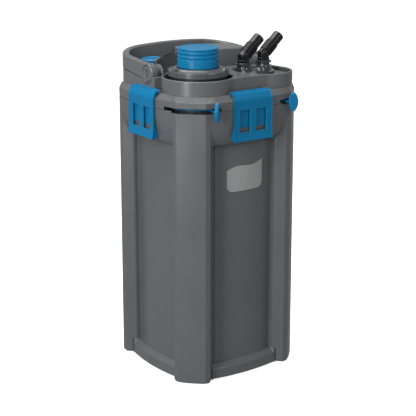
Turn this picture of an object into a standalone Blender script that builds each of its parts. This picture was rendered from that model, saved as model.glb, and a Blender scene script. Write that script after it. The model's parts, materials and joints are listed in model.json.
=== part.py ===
"""External canister filter for an aquarium: a tall container, a pump head and their inner parts.

The frame is in metres with +Z up.  The origin is on the floor, on the upright axis of the container.
The front (-Y) carries the name badge, and the four legs stand on the diagonals.
"""

import math

import bmesh
import bpy
from mathutils import Matrix, Vector

# ---------------------------------------------------------------- driving dimensions
GAP = 0.0003                       # clearance between pieces that touch

CORNER_HALF = 0.025                # half width of a leg face and of a rim corner
CORNER_RADIUS = 0.1505             # axis to a rim corner, along the diagonal
SIDE_MID = 0.1335                  # axis to the middle of a bowed rim side
SIDE_STEPS = 6                     # straight pieces in one bowed side

LEG_DRAFT = 0.0016                 # the legs stand wider at the floor than at the rim
LEG_BEVEL = 0.007
LEG_DEPTH = 0.0255
PANEL_MID = 0.113                  # the tank wall between the legs
PANEL_EDGE = 0.105
PANEL_HALF = 0.056
PLINTH_MID = 0.123
PLINTH_DROP = 0.0045
PLINTH_TOP = 0.021
PLINTH_BEVEL_TOP = 0.028
COLLAR_LOW = 0.417                 # where the collar starts to swell out of the panels
SEAM = 0.479                       # container rim, where the head begins
UNDERSIDE = 0.001
MOUTH_WALL = 0.005
HOLLOW_SWELL_LOW = 0.421          # where the inside widens to the mouth
HOLLOW_SWELL_HIGH = 0.455

BAND_TOP = 0.495
LEDGE = 0.504
DECK = 0.5285
COVER_WALL = 0.003
TRAY_FLOOR = 0.512
TRAY_WALL_TOP = 0.526
RIDGE_TOP = 0.547
MOTOR_TOP = 0.553

FILTER_AXIS = Vector((-0.058, -0.058, 0.0))
FILTER_TURRET = 0.062
FILTER_OPENING = 0.057
FILTER_WELL = 0.044
TURRET_AXIS = Vector((0.072, -0.072, 0.0))
HOSE_TURRET = 0.047
TURRET_OPENING = 0.043
HOSE_AXIS = Vector((0.058, -0.058, 0.0))
HOSE_OPENING = 0.0372
HOSE_WELL = 0.033
PORTS = {"left": Vector((0.0345, -0.0600, 0.0)), "right": Vector((0.0805, -0.0555, 0.0))}
PORT_TOP = 0.5430                  # where the elbows stand on the adapter
PORT_BORE = 0.0070
WELL_WALL = 0.003
PUMP_AXIS = Vector((0.066, 0.073, 0.0))
PRIMER_AXIS = Vector((-0.066, 0.068, 0.0))
PRIMER_RADIUS = 0.022
HANDLE_AXIS = Vector((0.0, 0.003, 0.530))
HANDLE_OUT = 0.121
HANDLE_ARM = 0.012
HUB_RADIUS = 0.017
HANDLE_CORNER = 0.056              # outer rounding of the tray and the handle at the back

PLATE_TOP = 0.471                  # top of the sealing plate under the pump head
SLOT_LOW = 0.4764
SLOT_HIGH = 0.4855
SLOT_HALF = 0.048
LEVER_Z = 0.481
LEVER_HALF_TURN = 32.4             # degrees from the diagonal to where the prefilter's lever rests
HOSE_LEVER_HALF_TURN = 26.4
LEVER_REACH = 0.0822               # from a well's axis to its lever's T head

LATCH_WIDTH = 0.077
LATCH_PIN = Vector((0.0, -0.1216, 0.5066))
BASKETS = 4
BASKET_LOW = 0.012
BASKET_PITCH = 0.099

DIAGONAL = math.sqrt(0.5)


# ---------------------------------------------------------------- scene and materials
def clear_scene():
    for obj in list(bpy.data.objects):
        bpy.data.objects.remove(obj, do_unlink=True)


def new_collection(name):
    collection = bpy.data.collections.new(name)
    bpy.context.scene.collection.children.link(collection)
    return collection


def material(name, colour, roughness, metallic=0.0):
    mat = bpy.data.materials.new(name)
    mat.use_nodes = True
    shader = mat.node_tree.nodes["Principled BSDF"]
    shader.inputs["Base Color"].default_value = (*colour, 1.0)
    shader.inputs["Roughness"].default_value = roughness
    shader.inputs["Metallic"].default_value = metallic
    return mat


# ---------------------------------------------------------------- outlines (seen from above)
def diagonal_point(radius, across):
    """A point given along and across a diagonal, as distances along a side and out from it."""
    return (radius - across) * DIAGONAL, (radius + across) * DIAGONAL


def bowed_octagon(along, out, mid, steps=SIDE_STEPS):
    """Four bowed sides joined by straight corners, counter-clockwise, starting at the front left."""
    side = []
    for i in range(steps + 1):
        x = along * (2.0 * i / steps - 1.0)
        side.append((x, -(out + (mid - out) * (1.0 - (x / along) ** 2))))
    return four_sides(side)


def four_sides(front):
    """Repeat the points of the front side round the axis."""
    outline = []
    for turn in range(4):
        for x, y in front:
            for _ in range(turn):
                x, y = -y, x
            outline.append((x, y))
    return outline


def offset(outline, inset):
    """Move each edge of a counter-clockwise outline inwards by the same distance."""
    moved = []
    count = len(outline)
    for i in range(count):
        before = Vector(outline[i - 1])
        here = Vector(outline[i])
        after = Vector(outline[(i + 1) % count])
        first = (here - before).normalized()
        second = (after - here).normalized()
        inward = (Vector((-first.y, first.x)) + Vector((-second.y, second.x))).normalized()
        miter = max(0.4, inward.dot(Vector((-first.y, first.x))))
        moved.append(tuple(here + inward * (inset / miter)))
    return moved


def arc(centre, radius, start, end, steps):
    """Points on an arc, from one angle to another in degrees."""
    points = []
    for i in range(steps + 1):
        angle = math.radians(start + (end - start) * i / steps)
        points.append((centre[0] + radius * math.cos(angle), centre[1] + radius * math.sin(angle)))
    return points


def rim_outline(inset=0.0):
    along, out = diagonal_point(CORNER_RADIUS, CORNER_HALF)
    outline = bowed_octagon(along, out, SIDE_MID)
    return offset(outline, inset) if inset else outline


def rim_out(x):
    """Distance of the rim from the axis plane, at a place along a side."""
    along, out = diagonal_point(CORNER_RADIUS, CORNER_HALF)
    return out + (SIDE_MID - out) * (1.0 - (x / along) ** 2)


def turned_outline(outline, degrees):
    turn = Matrix.Rotation(math.radians(degrees), 2)
    return [tuple(turn @ Vector(point)) for point in outline]


# ---------------------------------------------------------------- building blocks
def add_object(name, bm, mat, sharp=32.0):
    bmesh.ops.recalc_face_normals(bm, faces=bm.faces)
    mesh = bpy.data.meshes.new(name)
    bm.to_mesh(mesh)
    bm.free()
    mesh.shade_smooth()
    mesh.set_sharp_from_angle(angle=math.radians(sharp))
    obj = bpy.data.objects.new(name, mesh)
    if mat:
        mesh.materials.append(mat)
        PARTS.objects.link(obj)
    else:
        CUTTERS.objects.link(obj)
        obj.display_type = "WIRE"
        obj.hide_render = True
    return obj


def loft(name, rings, mat, closed=False):
    """Skin over rings with equal numbers of points; the ends are capped unless the loft closes."""
    bm = bmesh.new()
    rows = [[bm.verts.new(point) for point in ring] for ring in rings]
    pairs = list(zip(rows, rows[1:]))
    if closed:
        pairs.append((rows[-1], rows[0]))
    for low, high in pairs:
        count = len(low)
        for i in range(count):
            j = (i + 1) % count
            bm.faces.new((low[i], low[j], high[j], high[i]))
    if not closed:
        bm.faces.new(rows[0][::-1])
        bm.faces.new(rows[-1])
    return add_object(name, bm, mat)


def ring_at(outline, z):
    return [(x, y, z) for x, y in outline]


def prism(name, outline, low, high, mat):
    return loft(name, [ring_at(outline, low), ring_at(outline, high)], mat)


def turned(name, profile, mat, centre=(0.0, 0.0, 0.0), steps=24, closed=True):
    """Turn a profile of (radius, height) points, which runs down its outer side."""
    mesh = bpy.data.meshes.new(name)
    points = [(radius, 0.0, height) for radius, height in profile]
    edges = [(i, i + 1) for i in range(len(points) - 1)]
    if closed:
        edges.append((len(points) - 1, 0))
    mesh.from_pydata(points, edges, [])
    obj = bpy.data.objects.new(name, mesh)
    obj.location = centre
    screw = obj.modifiers.new("turn", "SCREW")
    screw.steps = steps
    screw.render_steps = steps
    screw.use_merge_vertices = not closed
    screw.merge_threshold = 0.00005
    screw.use_smooth_shade = True
    if mat:
        mesh.materials.append(mat)
        PARTS.objects.link(obj)
    else:
        CUTTERS.objects.link(obj)
        obj.display_type = "WIRE"
        obj.hide_render = True
    return obj


def cylinder(name, radius, low, high, mat, centre=(0.0, 0.0, 0.0), steps=24):
    profile = [(0.0, high), (radius, high), (radius, low), (0.0, low)]
    return turned(name, profile, mat, centre, steps, closed=False)


def tube(name, inner, outer, low, high, mat, centre=(0.0, 0.0, 0.0), steps=24):
    profile = [(inner, high), (outer, high), (outer, low), (inner, low)]
    return turned(name, profile, mat, centre, steps)


def boxes(name, spans, mat=None, turn=Matrix.Identity(4)):
    """One object of separate boxes, each given by its lowest and highest corners."""
    bm = bmesh.new()
    for low, high in spans:
        middle = (Vector(low) + Vector(high)) / 2.0
        size = Vector(high) - Vector(low)
        place = turn @ Matrix.Translation(middle) @ Matrix.Diagonal((*size, 1.0))
        bmesh.ops.create_cube(bm, size=1.0, matrix=place)
    return add_object(name, bm, mat)


def boolean(obj, tool, operation):
    modifier = obj.modifiers.new(tool.name, "BOOLEAN")
    modifier.operation = operation
    modifier.solver = "EXACT"
    modifier.object = tool


def cut(obj, tool):
    boolean(obj, tool, "DIFFERENCE")


def join(obj, tool):
    boolean(obj, tool, "UNION")


def merge_flat_faces(obj):
    """Join the flat faces that the cuts have split; this comes last on an object."""
    modifier = obj.modifiers.new("flat_faces", "DECIMATE")
    modifier.decimate_type = "DISSOLVE"
    modifier.angle_limit = math.radians(0.5)


def set_origin(obj, point):
    """Put the object's origin on its joint axis without moving its shape."""
    obj.data.transform(Matrix.Translation(-Vector(point)))
    obj.location = Vector(point)


def side_turn(index):
    """Turn a piece of the front side to side 0 front, 1 right, 2 back or 3 left."""
    return Matrix.Rotation(math.radians(90.0 * index), 4, "Z")


# ---------------------------------------------------------------- container
def collar_swell(z, low=COLLAR_LOW, high=SEAM):
    """How far the bowl-shaped collar has swelled out at a height, from 0 to 1."""
    share = min(1.0, max(0.0, (z - low) / (high - low)))
    return math.sqrt(1.0 - (1.0 - share) ** 2)


def container_outline(z, plinth=None):
    """Legs on the diagonals, and the plinth, panel or collar between them, at one height."""
    leg = CORNER_RADIUS + LEG_DRAFT * (1.0 - z / SEAM)
    stations = [diagonal_point(leg, CORNER_HALF)]
    stations.append(diagonal_point(leg - LEG_BEVEL, CORNER_HALF + LEG_BEVEL))
    for share in (0.5, 1.0):
        radius = leg - LEG_BEVEL - (LEG_DEPTH - LEG_BEVEL) * share
        stations.append(diagonal_point(radius, CORNER_HALF + LEG_BEVEL))
    for x in (1.0, 0.5, 0.0):
        stations.append((PANEL_HALF * x, PANEL_MID - (PANEL_MID - PANEL_EDGE) * x * x))
    front = []
    for x, out in stations:
        if plinth is not None:
            out = max(out, PLINTH_MID - PLINTH_DROP * (x / PANEL_HALF) ** 2 - plinth)
        if z > COLLAR_LOW:
            swell = rim_out(x) - (SIDE_MID - PANEL_MID) * (1.0 - collar_swell(z))
            out = max(out, swell)
        front.append((-x, -out))
    front += [(-x, y) for x, y in reversed(front[:-1])]
    return four_sides(front)


def build_container(mat):
    plinth_bevel = PLINTH_MID - PANEL_MID
    rings = [ring_at(offset(container_outline(UNDERSIDE, plinth=0.0), 0.0025), UNDERSIDE)]
    rings.append(ring_at(container_outline(0.004, plinth=0.0), 0.004))
    rings.append(ring_at(container_outline(PLINTH_TOP, plinth=0.0), PLINTH_TOP))
    rings.append(ring_at(container_outline(PLINTH_BEVEL_TOP, plinth_bevel), PLINTH_BEVEL_TOP))
    rings.append(ring_at(container_outline(0.0283), 0.0283))
    rings.append(ring_at(container_outline(COLLAR_LOW), COLLAR_LOW))
    for share in (0.013, 0.08, 0.25, 0.55, 1.0):
        z = COLLAR_LOW + (SEAM - COLLAR_LOW) * share
        rings.append(ring_at(container_outline(z), z))
    container = loft("container", rings, mat)

    tank = bowed_octagon(0.062, 0.1005, 0.1095)
    mouth = rim_outline(MOUTH_WALL)
    hollow = [ring_at(tank, 0.0065), ring_at(tank, HOLLOW_SWELL_LOW)]
    for share in (0.15, 0.5, 1.0):
        z = HOLLOW_SWELL_LOW + (HOLLOW_SWELL_HIGH - HOLLOW_SWELL_LOW) * share
        swell = collar_swell(z, HOLLOW_SWELL_LOW, HOLLOW_SWELL_HIGH)
        blend = [Vector(a).lerp(Vector(b), swell) for a, b in zip(tank, mouth)]
        hollow.append(ring_at(blend, z))
    hollow.append(ring_at(mouth, SEAM + 0.01))
    cut(container, loft("tank_hollow", hollow, None))

    catch = [(-0.028, -0.1332, 0.4370), (0.028, -0.1265, 0.4410)]
    for index in range(4):
        join(container, boxes(f"catch_{index}", [catch], turn=side_turn(index)))

    pocket = [(0.119, -0.027), (0.141, -0.027), (0.1462, -0.0215)]
    pocket += [(radius, -across) for radius, across in reversed(pocket)]
    for index in range(4):
        outline = turned_outline(pocket, 45.0 + 90.0 * index)
        cut(container, prism(f"leg_core_{index}", outline, -0.01, 0.400, None))
    cross = [[(-0.068, -0.2, -0.01), (0.068, 0.2, 0.003)],
             [(-0.2, -0.068, -0.0101), (0.2, 0.068, 0.0031)]]
    for index, span in enumerate(cross):
        cut(container, boxes(f"under_plinth_{index}", [span]))
    for name, degrees in (("left", 225.0), ("right", 315.0)):
        turn = Matrix.Rotation(math.radians(degrees), 4, "Z")
        span = [(0.138, -SLOT_HALF, SLOT_LOW), (0.160, SLOT_HALF, SEAM + 0.01)]
        cut(container, boxes(f"lever_notch_{name}", [span], turn=turn))
    merge_flat_faces(container)


def build_feet(mat):
    pad = offset([(0.119, -0.027), (0.141, -0.027), (0.1462, -0.0215),
                  (0.1462, 0.0215), (0.141, 0.027), (0.119, 0.027)], GAP)
    names = ("foot_back_right", "foot_back_left", "foot_front_left", "foot_front_right")
    for index, name in enumerate(names):
        outline = turned_outline(pad, 45.0 + 90.0 * index)
        small = turned_outline(offset(pad, 0.002), 45.0 + 90.0 * index)
        rings = [ring_at(small, 0.0), ring_at(outline, 0.002), ring_at(outline, 0.014)]
        loft(name, rings, mat)


def build_badge(mat):
    """A thin blank shield that follows the bowed front panel."""
    left, right, steps = -0.036, 0.038, 12
    rings = []
    for i in range(steps + 1):
        share = i / steps
        x = left + (right - left) * share
        wall = PANEL_MID - (PANEL_MID - PANEL_EDGE) * (x / PANEL_HALF) ** 2 + 0.0004
        edge = min(share, 1.0 - share) * (right - left)
        rounding = 0.011 - math.sqrt(max(0.0, 0.011 ** 2 - max(0.0, 0.011 - edge) ** 2))
        low = 0.334 + rounding
        high = 0.372 + 0.012 * share + 0.003 * math.sin(2.0 * math.pi * share)
        rings.append([(x, -wall, low), (x, -wall, high), (x, -wall - 0.001, high), (x, -wall - 0.001, low)])
    loft("name_badge", rings, mat)


def basket_outline():
    """A rounded square whose front left corner leaves room for the prefilter column."""
    body = bowed_octagon(0.060, 0.098, 0.1065, 4)
    front = [(x, y) for x, y in body[:5] if x > -0.020]
    left = [(x, y) for x, y in body[15:20] if y > -0.020]
    corner = arc(FILTER_AXIS, 0.036, 90.0, 0.0, 5)
    left_out = -0.1065 + 0.0085 * (0.022 / 0.060) ** 2
    notch = [(left_out, -0.022)] + corner + [(-0.022, left_out)]
    return notch + front + body[5:15] + left


def build_baskets(basket_mat, foam_mat):
    outline = basket_outline()
    inner = offset(outline, 0.0024)
    pad = offset(outline, 0.0032)
    for index in range(BASKETS):
        low = BASKET_LOW + BASKET_PITCH * index
        high = low + BASKET_PITCH - 0.002
        floor = low + 0.004
        rings = [ring_at(inner, floor), ring_at(inner, high), ring_at(outline, high), ring_at(outline, low)]
        basket = loft(f"basket_{index + 1}", rings, basket_mat)
        slots = [((0.014 * k - 0.003, -0.010, low - 0.01), (0.014 * k + 0.003, 0.085, low + 0.01))
                 for k in (-3, -1, 1, 3)]
        for k, span in enumerate(slots):
            cut(basket, boxes(f"basket_slot_{index}_{k}", [span]))
        prism(f"media_{index + 1}", pad, floor + GAP, high - 0.022, foam_mat)


# ---------------------------------------------------------------- pump head
def build_head_base(mat):
    """The sealing plate with its skirt, and the wells of the prefilter and the hoses."""
    steps = [(0.0110, 0.4662), (0.0110, 0.4560), (0.0056, 0.4560), (0.0056, 0.4585), (0.0082, 0.4585),
             (0.0082, 0.4640), (0.0054, 0.4640), (0.0054, PLATE_TOP)]
    base = loft("head_base", [ring_at(rim_outline(inset), z) for inset, z in steps], mat)
    wells = [("filter", FILTER_AXIS, FILTER_WELL, 0.527), ("hose", HOSE_AXIS, HOSE_WELL, 0.520)]
    for name, axis, bore, top in wells:
        join(base, cylinder(f"{name}_well", bore + WELL_WALL, 0.4672, top, None, axis, 24))
        cut(base, cylinder(f"{name}_bore", bore, 0.40, 0.60, None, axis, 24))
    cut(base, cylinder("rotor_bore", 0.0130, 0.40, 0.60, None, PUMP_AXIS, 20))
    return base


def build_head_seal(mat):
    section = [(0.0054, 0.4589), (0.0054, 0.4636), (0.0078, 0.4636), (0.0078, 0.4589)]
    loft("head_seal", [ring_at(rim_outline(inset), z) for inset, z in section], mat, closed=True)


def deck_outline():
    """The raised front half of the head: two turrets and the flat front between them."""
    filter_arc = arc(FILTER_AXIS, FILTER_TURRET, 112.0, 299.4, 13)
    hose_arc = arc(TURRET_AXIS, HOSE_TURRET, 238.0, 360.0, 8)
    back = [(0.119, -0.034), (0.113, -0.024), (0.096, -0.020), (0.072, -0.012), (0.040, -0.014),
            (0.020, -0.002), (0.000, 0.006), (-0.030, 0.010), (-0.060, 0.012)]
    return filter_arc + [(0.042, -0.112)] + hose_arc + back


def tray_outline():
    """The back half of the head under the carry handle."""
    out = HANDLE_OUT - 0.002
    edge = out - HANDLE_CORNER
    right = arc((edge, edge), HANDLE_CORNER, 0.0, 90.0, 6)
    left = arc((-edge, edge), HANDLE_CORNER, 90.0, 180.0, 6)
    return [(-out, -0.020), (out, -0.020)] + right + left


def motor_outline(inset=0.0):
    """The motor block in the back right corner of the tray, inside the handle."""
    out = HANDLE_OUT - HANDLE_ARM - 0.002
    radius = HANDLE_CORNER - HANDLE_ARM
    corner = arc((out - radius, out - radius), radius, 0.0, 90.0, 5)
    outline = [(0.004, 0.100), (0.052, 0.038), (0.092, 0.027), (out, 0.027)] + corner + [(0.002, out)]
    return offset(outline, inset) if inset else outline


def handle_path():
    """Middle line of the bail seen from above, with its lower and upper edges at each station."""
    across = HANDLE_OUT - HANDLE_ARM / 2.0
    corner = HANDLE_CORNER - HANDLE_ARM / 2.0
    right = [(across, y) for y in (HANDLE_AXIS.y, 0.022)]
    right += arc((across - corner, across - corner), corner, 0.0, 90.0, 6)
    return right + [(-x, y) for x, y in reversed(right)]


def handle_rings(grow=0.0):
    """Sections of the bail, chamfered on top and bottom."""
    path = handle_path()
    rings = []
    for index, (x, y) in enumerate(path):
        before = Vector(path[max(0, index - 1)])
        after = Vector(path[min(len(path) - 1, index + 1)])
        along = (after - before).normalized()
        out = Vector((along.y, -along.x))
        back = (y - HANDLE_AXIS.y) / (path[len(path) // 2][1] - HANDLE_AXIS.y)
        high = HANDLE_AXIS.z + 0.0155 + 0.0140 * back
        low = HANDLE_AXIS.z - 0.0125 + 0.0095 * min(1.0, back * 1.7)
        half = HANDLE_ARM / 2.0 + grow
        nip = 0.0022
        section = [(-half, low + nip), (-half + nip, low), (half - nip, low), (half, low + nip),
                   (half, high - nip), (half - nip, high), (-half + nip, high), (-half, high - nip)]
        rings.append([(x + out.x * s, y + out.y * s, z + (grow if z > HANDLE_AXIS.z else -grow))
                      for s, z in section])
    return rings


def build_head_cover(mat):
    ledge = bowed_octagon(*diagonal_point(0.1455, 0.0270), 0.1212)
    ledge_in = offset(ledge, 0.002)
    rings = [ring_at(ledge_in, LEDGE - COVER_WALL), ring_at(rim_outline(COVER_WALL), BAND_TOP - 0.001),
             ring_at(rim_outline(COVER_WALL), SEAM + GAP), ring_at(rim_outline(), SEAM + GAP),
             ring_at(rim_outline(), BAND_TOP), ring_at(ledge, LEDGE)]
    cover = loft("head_cover", rings, mat)

    deck = deck_outline()
    lip = [ring_at(deck, LEDGE - 0.001), ring_at(deck, DECK - 0.002), ring_at(offset(deck, 0.0022), DECK)]
    join(cover, loft("deck_block", lip, None))
    tray = tray_outline()
    join(cover, prism("tray_block", tray, LEDGE - 0.0012, TRAY_WALL_TOP, None))
    tray_hollow = prism("tray_hollow", offset(tray, 0.0052), TRAY_FLOOR, 0.60, None)
    tray_front = boxes("tray_front", [((-0.2, -0.2, 0.4), (0.2, 0.0055, 0.7))])
    cut(tray_hollow, tray_front)
    cut(cover, tray_hollow)
    collar_low = TRAY_FLOOR - 0.001
    join(cover, cylinder("primer_collar", PRIMER_RADIUS + 0.004, collar_low, 0.525, None, PRIMER_AXIS))
    motor_rings = [ring_at(motor_outline(), collar_low), ring_at(motor_outline(0.001), MOTOR_TOP - 0.0025),
                   ring_at(motor_outline(0.003), MOTOR_TOP)]
    join(cover, loft("motor_block", motor_rings, None))

    cut(cover, prism("deck_room", offset(deck, COVER_WALL), 0.48, DECK - COVER_WALL, None))
    cut(cover, prism("tray_room", offset(tray, 0.004), 0.4801, TRAY_FLOOR - COVER_WALL, None))
    cut(cover, prism("motor_room", motor_outline(COVER_WALL + 0.001), 0.4802, MOTOR_TOP - COVER_WALL, None))
    cut(cover, cylinder("filter_opening", FILTER_OPENING, 0.49, 0.60, None, FILTER_AXIS, 24))
    cut(cover, cylinder("turret_opening", TURRET_OPENING, 0.49, 0.60, None, TURRET_AXIS, 20))
    cut(cover, cylinder("hose_opening", HOSE_OPENING, 0.4901, 0.6001, None, HOSE_AXIS, 20))
    cut(cover, cylinder("primer_bore", PRIMER_RADIUS + 0.0004, 0.48, 0.60, None, PRIMER_AXIS))

    ridge = [(-0.098, 0.014), (-0.050, 0.050), (-0.022, 0.062),
             (-0.020, 0.058), (-0.048, 0.046), (-0.096, 0.010)]
    join(cover, prism("ridge", ridge, collar_low, RIDGE_TOP, None))
    seat = loft("handle_seat", handle_rings(0.0006), None)
    cut(cover, seat)
    for side, label in ((-1.0, "left"), (1.0, "right")):
        across = side * (HANDLE_OUT - 0.010)
        hub_room = cylinder(f"hub_room_{label}", HUB_RADIUS + 0.0008, -0.016, 0.016, None, steps=24)
        hub_room.location = (across, HANDLE_AXIS.y, HANDLE_AXIS.z)
        hub_room.rotation_euler = (0.0, math.pi / 2.0, 0.0)
        cut(cover, hub_room)
        room = [(across - 0.016, HANDLE_AXIS.y - HUB_RADIUS - 0.001, HANDLE_AXIS.z),
                (across + 0.016, HANDLE_AXIS.y + HUB_RADIUS + 0.001, 0.58)]
        cut(cover, boxes(f"hub_room_top_{label}", [room]))
        post = cylinder(f"handle_post_{label}", 0.0135, -0.0065, 0.0065, None, steps=20)
        post.location = (side * (HANDLE_OUT - HANDLE_ARM - 0.0074), HANDLE_AXIS.y, HANDLE_AXIS.z)
        post.rotation_euler = (0.0, math.pi / 2.0, 0.0)
        join(cover, post)
        inner = side * (HANDLE_OUT - HANDLE_ARM - 0.0132)
        foot = [(min(inner, inner + side * 0.0117), HANDLE_AXIS.y - 0.009, TRAY_FLOOR - 0.0014),
                (max(inner, inner + side * 0.0117), HANDLE_AXIS.y + 0.009, HANDLE_AXIS.z - 0.004)]
        join(cover, boxes(f"handle_post_foot_{label}", [foot]))
        bore = cylinder(f"pivot_bore_{label}", 0.0056, -0.012, 0.012, None, steps=12)
        bore.location = (side * (HANDLE_OUT - HANDLE_ARM), HANDLE_AXIS.y, HANDLE_AXIS.z)
        bore.rotation_euler = (0.0, math.pi / 2.0, 0.0)
        cut(cover, bore)

    for name, degrees in (("left", 225.0), ("right", 315.0)):
        turn = Matrix.Rotation(math.radians(degrees), 4, "Z")
        span = [(0.130, -SLOT_HALF, 0.47), (0.160, SLOT_HALF, SLOT_HIGH)]
        cut(cover, boxes(f"lever_slot_{name}", [span], turn=turn))
    gland_hole = cylinder("gland_hole", 0.0045, -0.02, 0.02, None, steps=16)
    gland_hole.location = (0.049, 0.120, 0.5155)
    gland_hole.rotation_euler = (math.pi / 2.0, 0.0, 0.0)
    cut(cover, gland_hole)
    return cover


def screw_places():
    """Where the cover stands on the sealing plate: both back corners, the front and the right side."""
    back = 0.094
    return [(-back, back), (back, back), (0.004, -0.104), (0.108, -0.014)]


def build_cover_screws(cover, base, mat):
    """Posts under the cover, and the screws that hold it from below the sealing plate."""
    for index, (x, y) in enumerate(screw_places()):
        place = Vector((x, y, 0.0))
        top = DECK if y < -0.05 else TRAY_FLOOR
        join(cover, cylinder(f"screw_post_{index}", 0.0042, PLATE_TOP + GAP, top - 0.0011, None, place, 8))
        cut(cover, cylinder(f"screw_thread_{index}", 0.0017, 0.46, 0.4930, None, place, 8))
        cut(base, cylinder(f"screw_hole_{index}", 0.0019, 0.46, 0.48, None, place, 8))
        profile = [(0.0, 0.4910), (0.0013, 0.4910), (0.0013, 0.4659), (0.0034, 0.4659), (0.0030, 0.4632),
                   (0.0, 0.4632)]
        turned(f"cover_screw_{index + 1}", profile, mat, place, 8, closed=False)


def build_cord_gland(mat):
    gland = turned("cord_gland", [(0.0022, 0.008), (0.0040, 0.008), (0.0062, 0.0), (0.0062, -0.0010),
                                  (0.0042, -0.0010), (0.0042, -0.0062), (0.0022, -0.0062)], mat, steps=16)
    gland.location = (0.049, 0.1268, 0.5155)
    gland.rotation_euler = (-math.pi / 2.0, 0.0, 0.0)


def build_primer(button_mat, spring_mat):
    profile = [(0.0, 0.5430), (0.0195, 0.5430), (PRIMER_RADIUS, 0.5410), (PRIMER_RADIUS, 0.5165),
               (0.0190, 0.5165), (0.0190, 0.5400), (0.0, 0.5400)]
    turned("primer_button", profile, button_mat, PRIMER_AXIS, 24, closed=False)
    tube("primer_spring", 0.0120, 0.0150, PLATE_TOP + GAP, 0.5397, spring_mat, PRIMER_AXIS, 16)


def build_motor(housing_mat, rotor_mat, shaft_mat, rubber_mat, cover_mat):
    low = PLATE_TOP + GAP
    profile = [(0.0, 0.5450), (0.0270, 0.5450), (0.0270, low), (0.0125, low), (0.0125, 0.5240), (0.0, 0.5240)]
    turned("motor_housing", profile, housing_mat, PUMP_AXIS, 24, closed=False)
    tube("upper_bush", 0.0017, 0.0055, 0.5175, 0.5235, rubber_mat, PUMP_AXIS, 12)
    tube("lower_bush", 0.0017, 0.0055, 0.4400, 0.4455, rubber_mat, PUMP_AXIS, 12)
    cylinder("impeller_shaft", 0.0014, 0.4402, 0.5232, shaft_mat, PUMP_AXIS, 10)
    hub = [(0.0018, 0.5160), (0.0108, 0.5160), (0.0108, 0.4680), (0.0070, 0.4650), (0.0070, 0.4480),
           (0.0018, 0.4480)]
    impeller = turned("impeller", hub, rotor_mat, PUMP_AXIS, 16)
    blade = [(0.0060, -0.0008, 0.4490), (0.0205, 0.0008, 0.4625)]
    for index in range(6):
        turn = Matrix.Translation(PUMP_AXIS) @ Matrix.Rotation(math.radians(60.0 * index), 4, "Z")
        join(impeller, boxes(f"impeller_blade_{index}", [blade], turn=turn))
    cup = [(0.0270, 0.4657), (0.0300, 0.4657), (0.0300, 0.4330), (0.0070, 0.4330), (0.0070, 0.4360),
           (0.0270, 0.4360)]
    pump_cover = turned("pump_cover", cup, cover_mat, PUMP_AXIS, 18)
    spokes = [((-0.0272, -0.0012, 0.4364), (0.0272, 0.0012, 0.4396)),
              ((-0.0012, -0.0272, 0.4365), (0.0012, 0.0272, 0.4395))]
    for index, span in enumerate(spokes):
        join(pump_cover, boxes(f"bush_spoke_{index}", [span], turn=Matrix.Translation(PUMP_AXIS)))


# ---------------------------------------------------------------- prefilter column
def build_prefilter(lid_mat, ring_mat, plug_mat, foam_mat, rubber_mat):
    lid = [(0.0325, 0.5297), (0.0437, 0.5297), (0.0437, 0.5230), (0.0405, 0.5230), (0.0405, 0.5190),
           (0.0437, 0.5190), (0.0437, 0.5080), (0.0360, 0.5000), (0.0360, 0.4960), (0.0325, 0.4960)]
    turned("prefilter_lid", lid, lid_mat, FILTER_AXIS, 24)
    tube("prefilter_seal", 0.0408, 0.0434, 0.5195, 0.5225, rubber_mat, FILTER_AXIS, 24)
    cage = [(0.0250, 0.4957), (0.0350, 0.4957), (0.0350, 0.4925), (0.0150, 0.4790), (0.0150, 0.0360),
            (0.0290, 0.0360), (0.0290, 0.0320), (0.0125, 0.0320), (0.0125, 0.4790)]
    turned("prefilter_cage", cage, lid_mat, FILTER_AXIS, 12)
    sleeves = 3
    low, high = 0.0363, 0.4760
    length = (high - low) / sleeves
    for index in range(sleeves):
        bottom = low + length * index
        top = bottom + length - GAP
        tube(f"prefilter_foam_{index + 1}", 0.0154, 0.0285, bottom, top, foam_mat, FILTER_AXIS, 12)
    ring = [(0.0356, 0.5440), (0.0405, 0.5440), (0.0425, 0.5425), (0.0440, 0.5405), (0.0495, 0.5405),
            (0.0510, 0.5390), (0.0510, 0.5305), (0.0500, 0.5300), (0.0356, 0.5300)]
    lock_ring = turned("lock_ring", ring, ring_mat, FILTER_AXIS, 24)
    for index in range(6):
        notch = [(0.0480, -0.0012, 0.5350), (0.0540, 0.0012, 0.5450)]
        turn = Matrix.Translation(FILTER_AXIS) @ Matrix.Rotation(math.radians(60.0 * index + 22.5), 4, "Z")
        cut(lock_ring, boxes(f"ring_notch_{index}", [notch], turn=turn))
    plug = [(0.0, 0.5770), (0.0335, 0.5770), (0.0350, 0.5755)]
    plug += [(0.0350, 0.5443), (0.0320, 0.5443), (0.0320, 0.5120), (0.0295, 0.5120), (0.0295, 0.5080),
             (0.0320, 0.5080), (0.0320, 0.5040), (0.0, 0.5040)]
    turned("heater_blank_plug", plug, plug_mat, FILTER_AXIS, 24, closed=False)
    tube("plug_seal", 0.0298, 0.0322, 0.5085, 0.5115, rubber_mat, FILTER_AXIS, 24)


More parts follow.
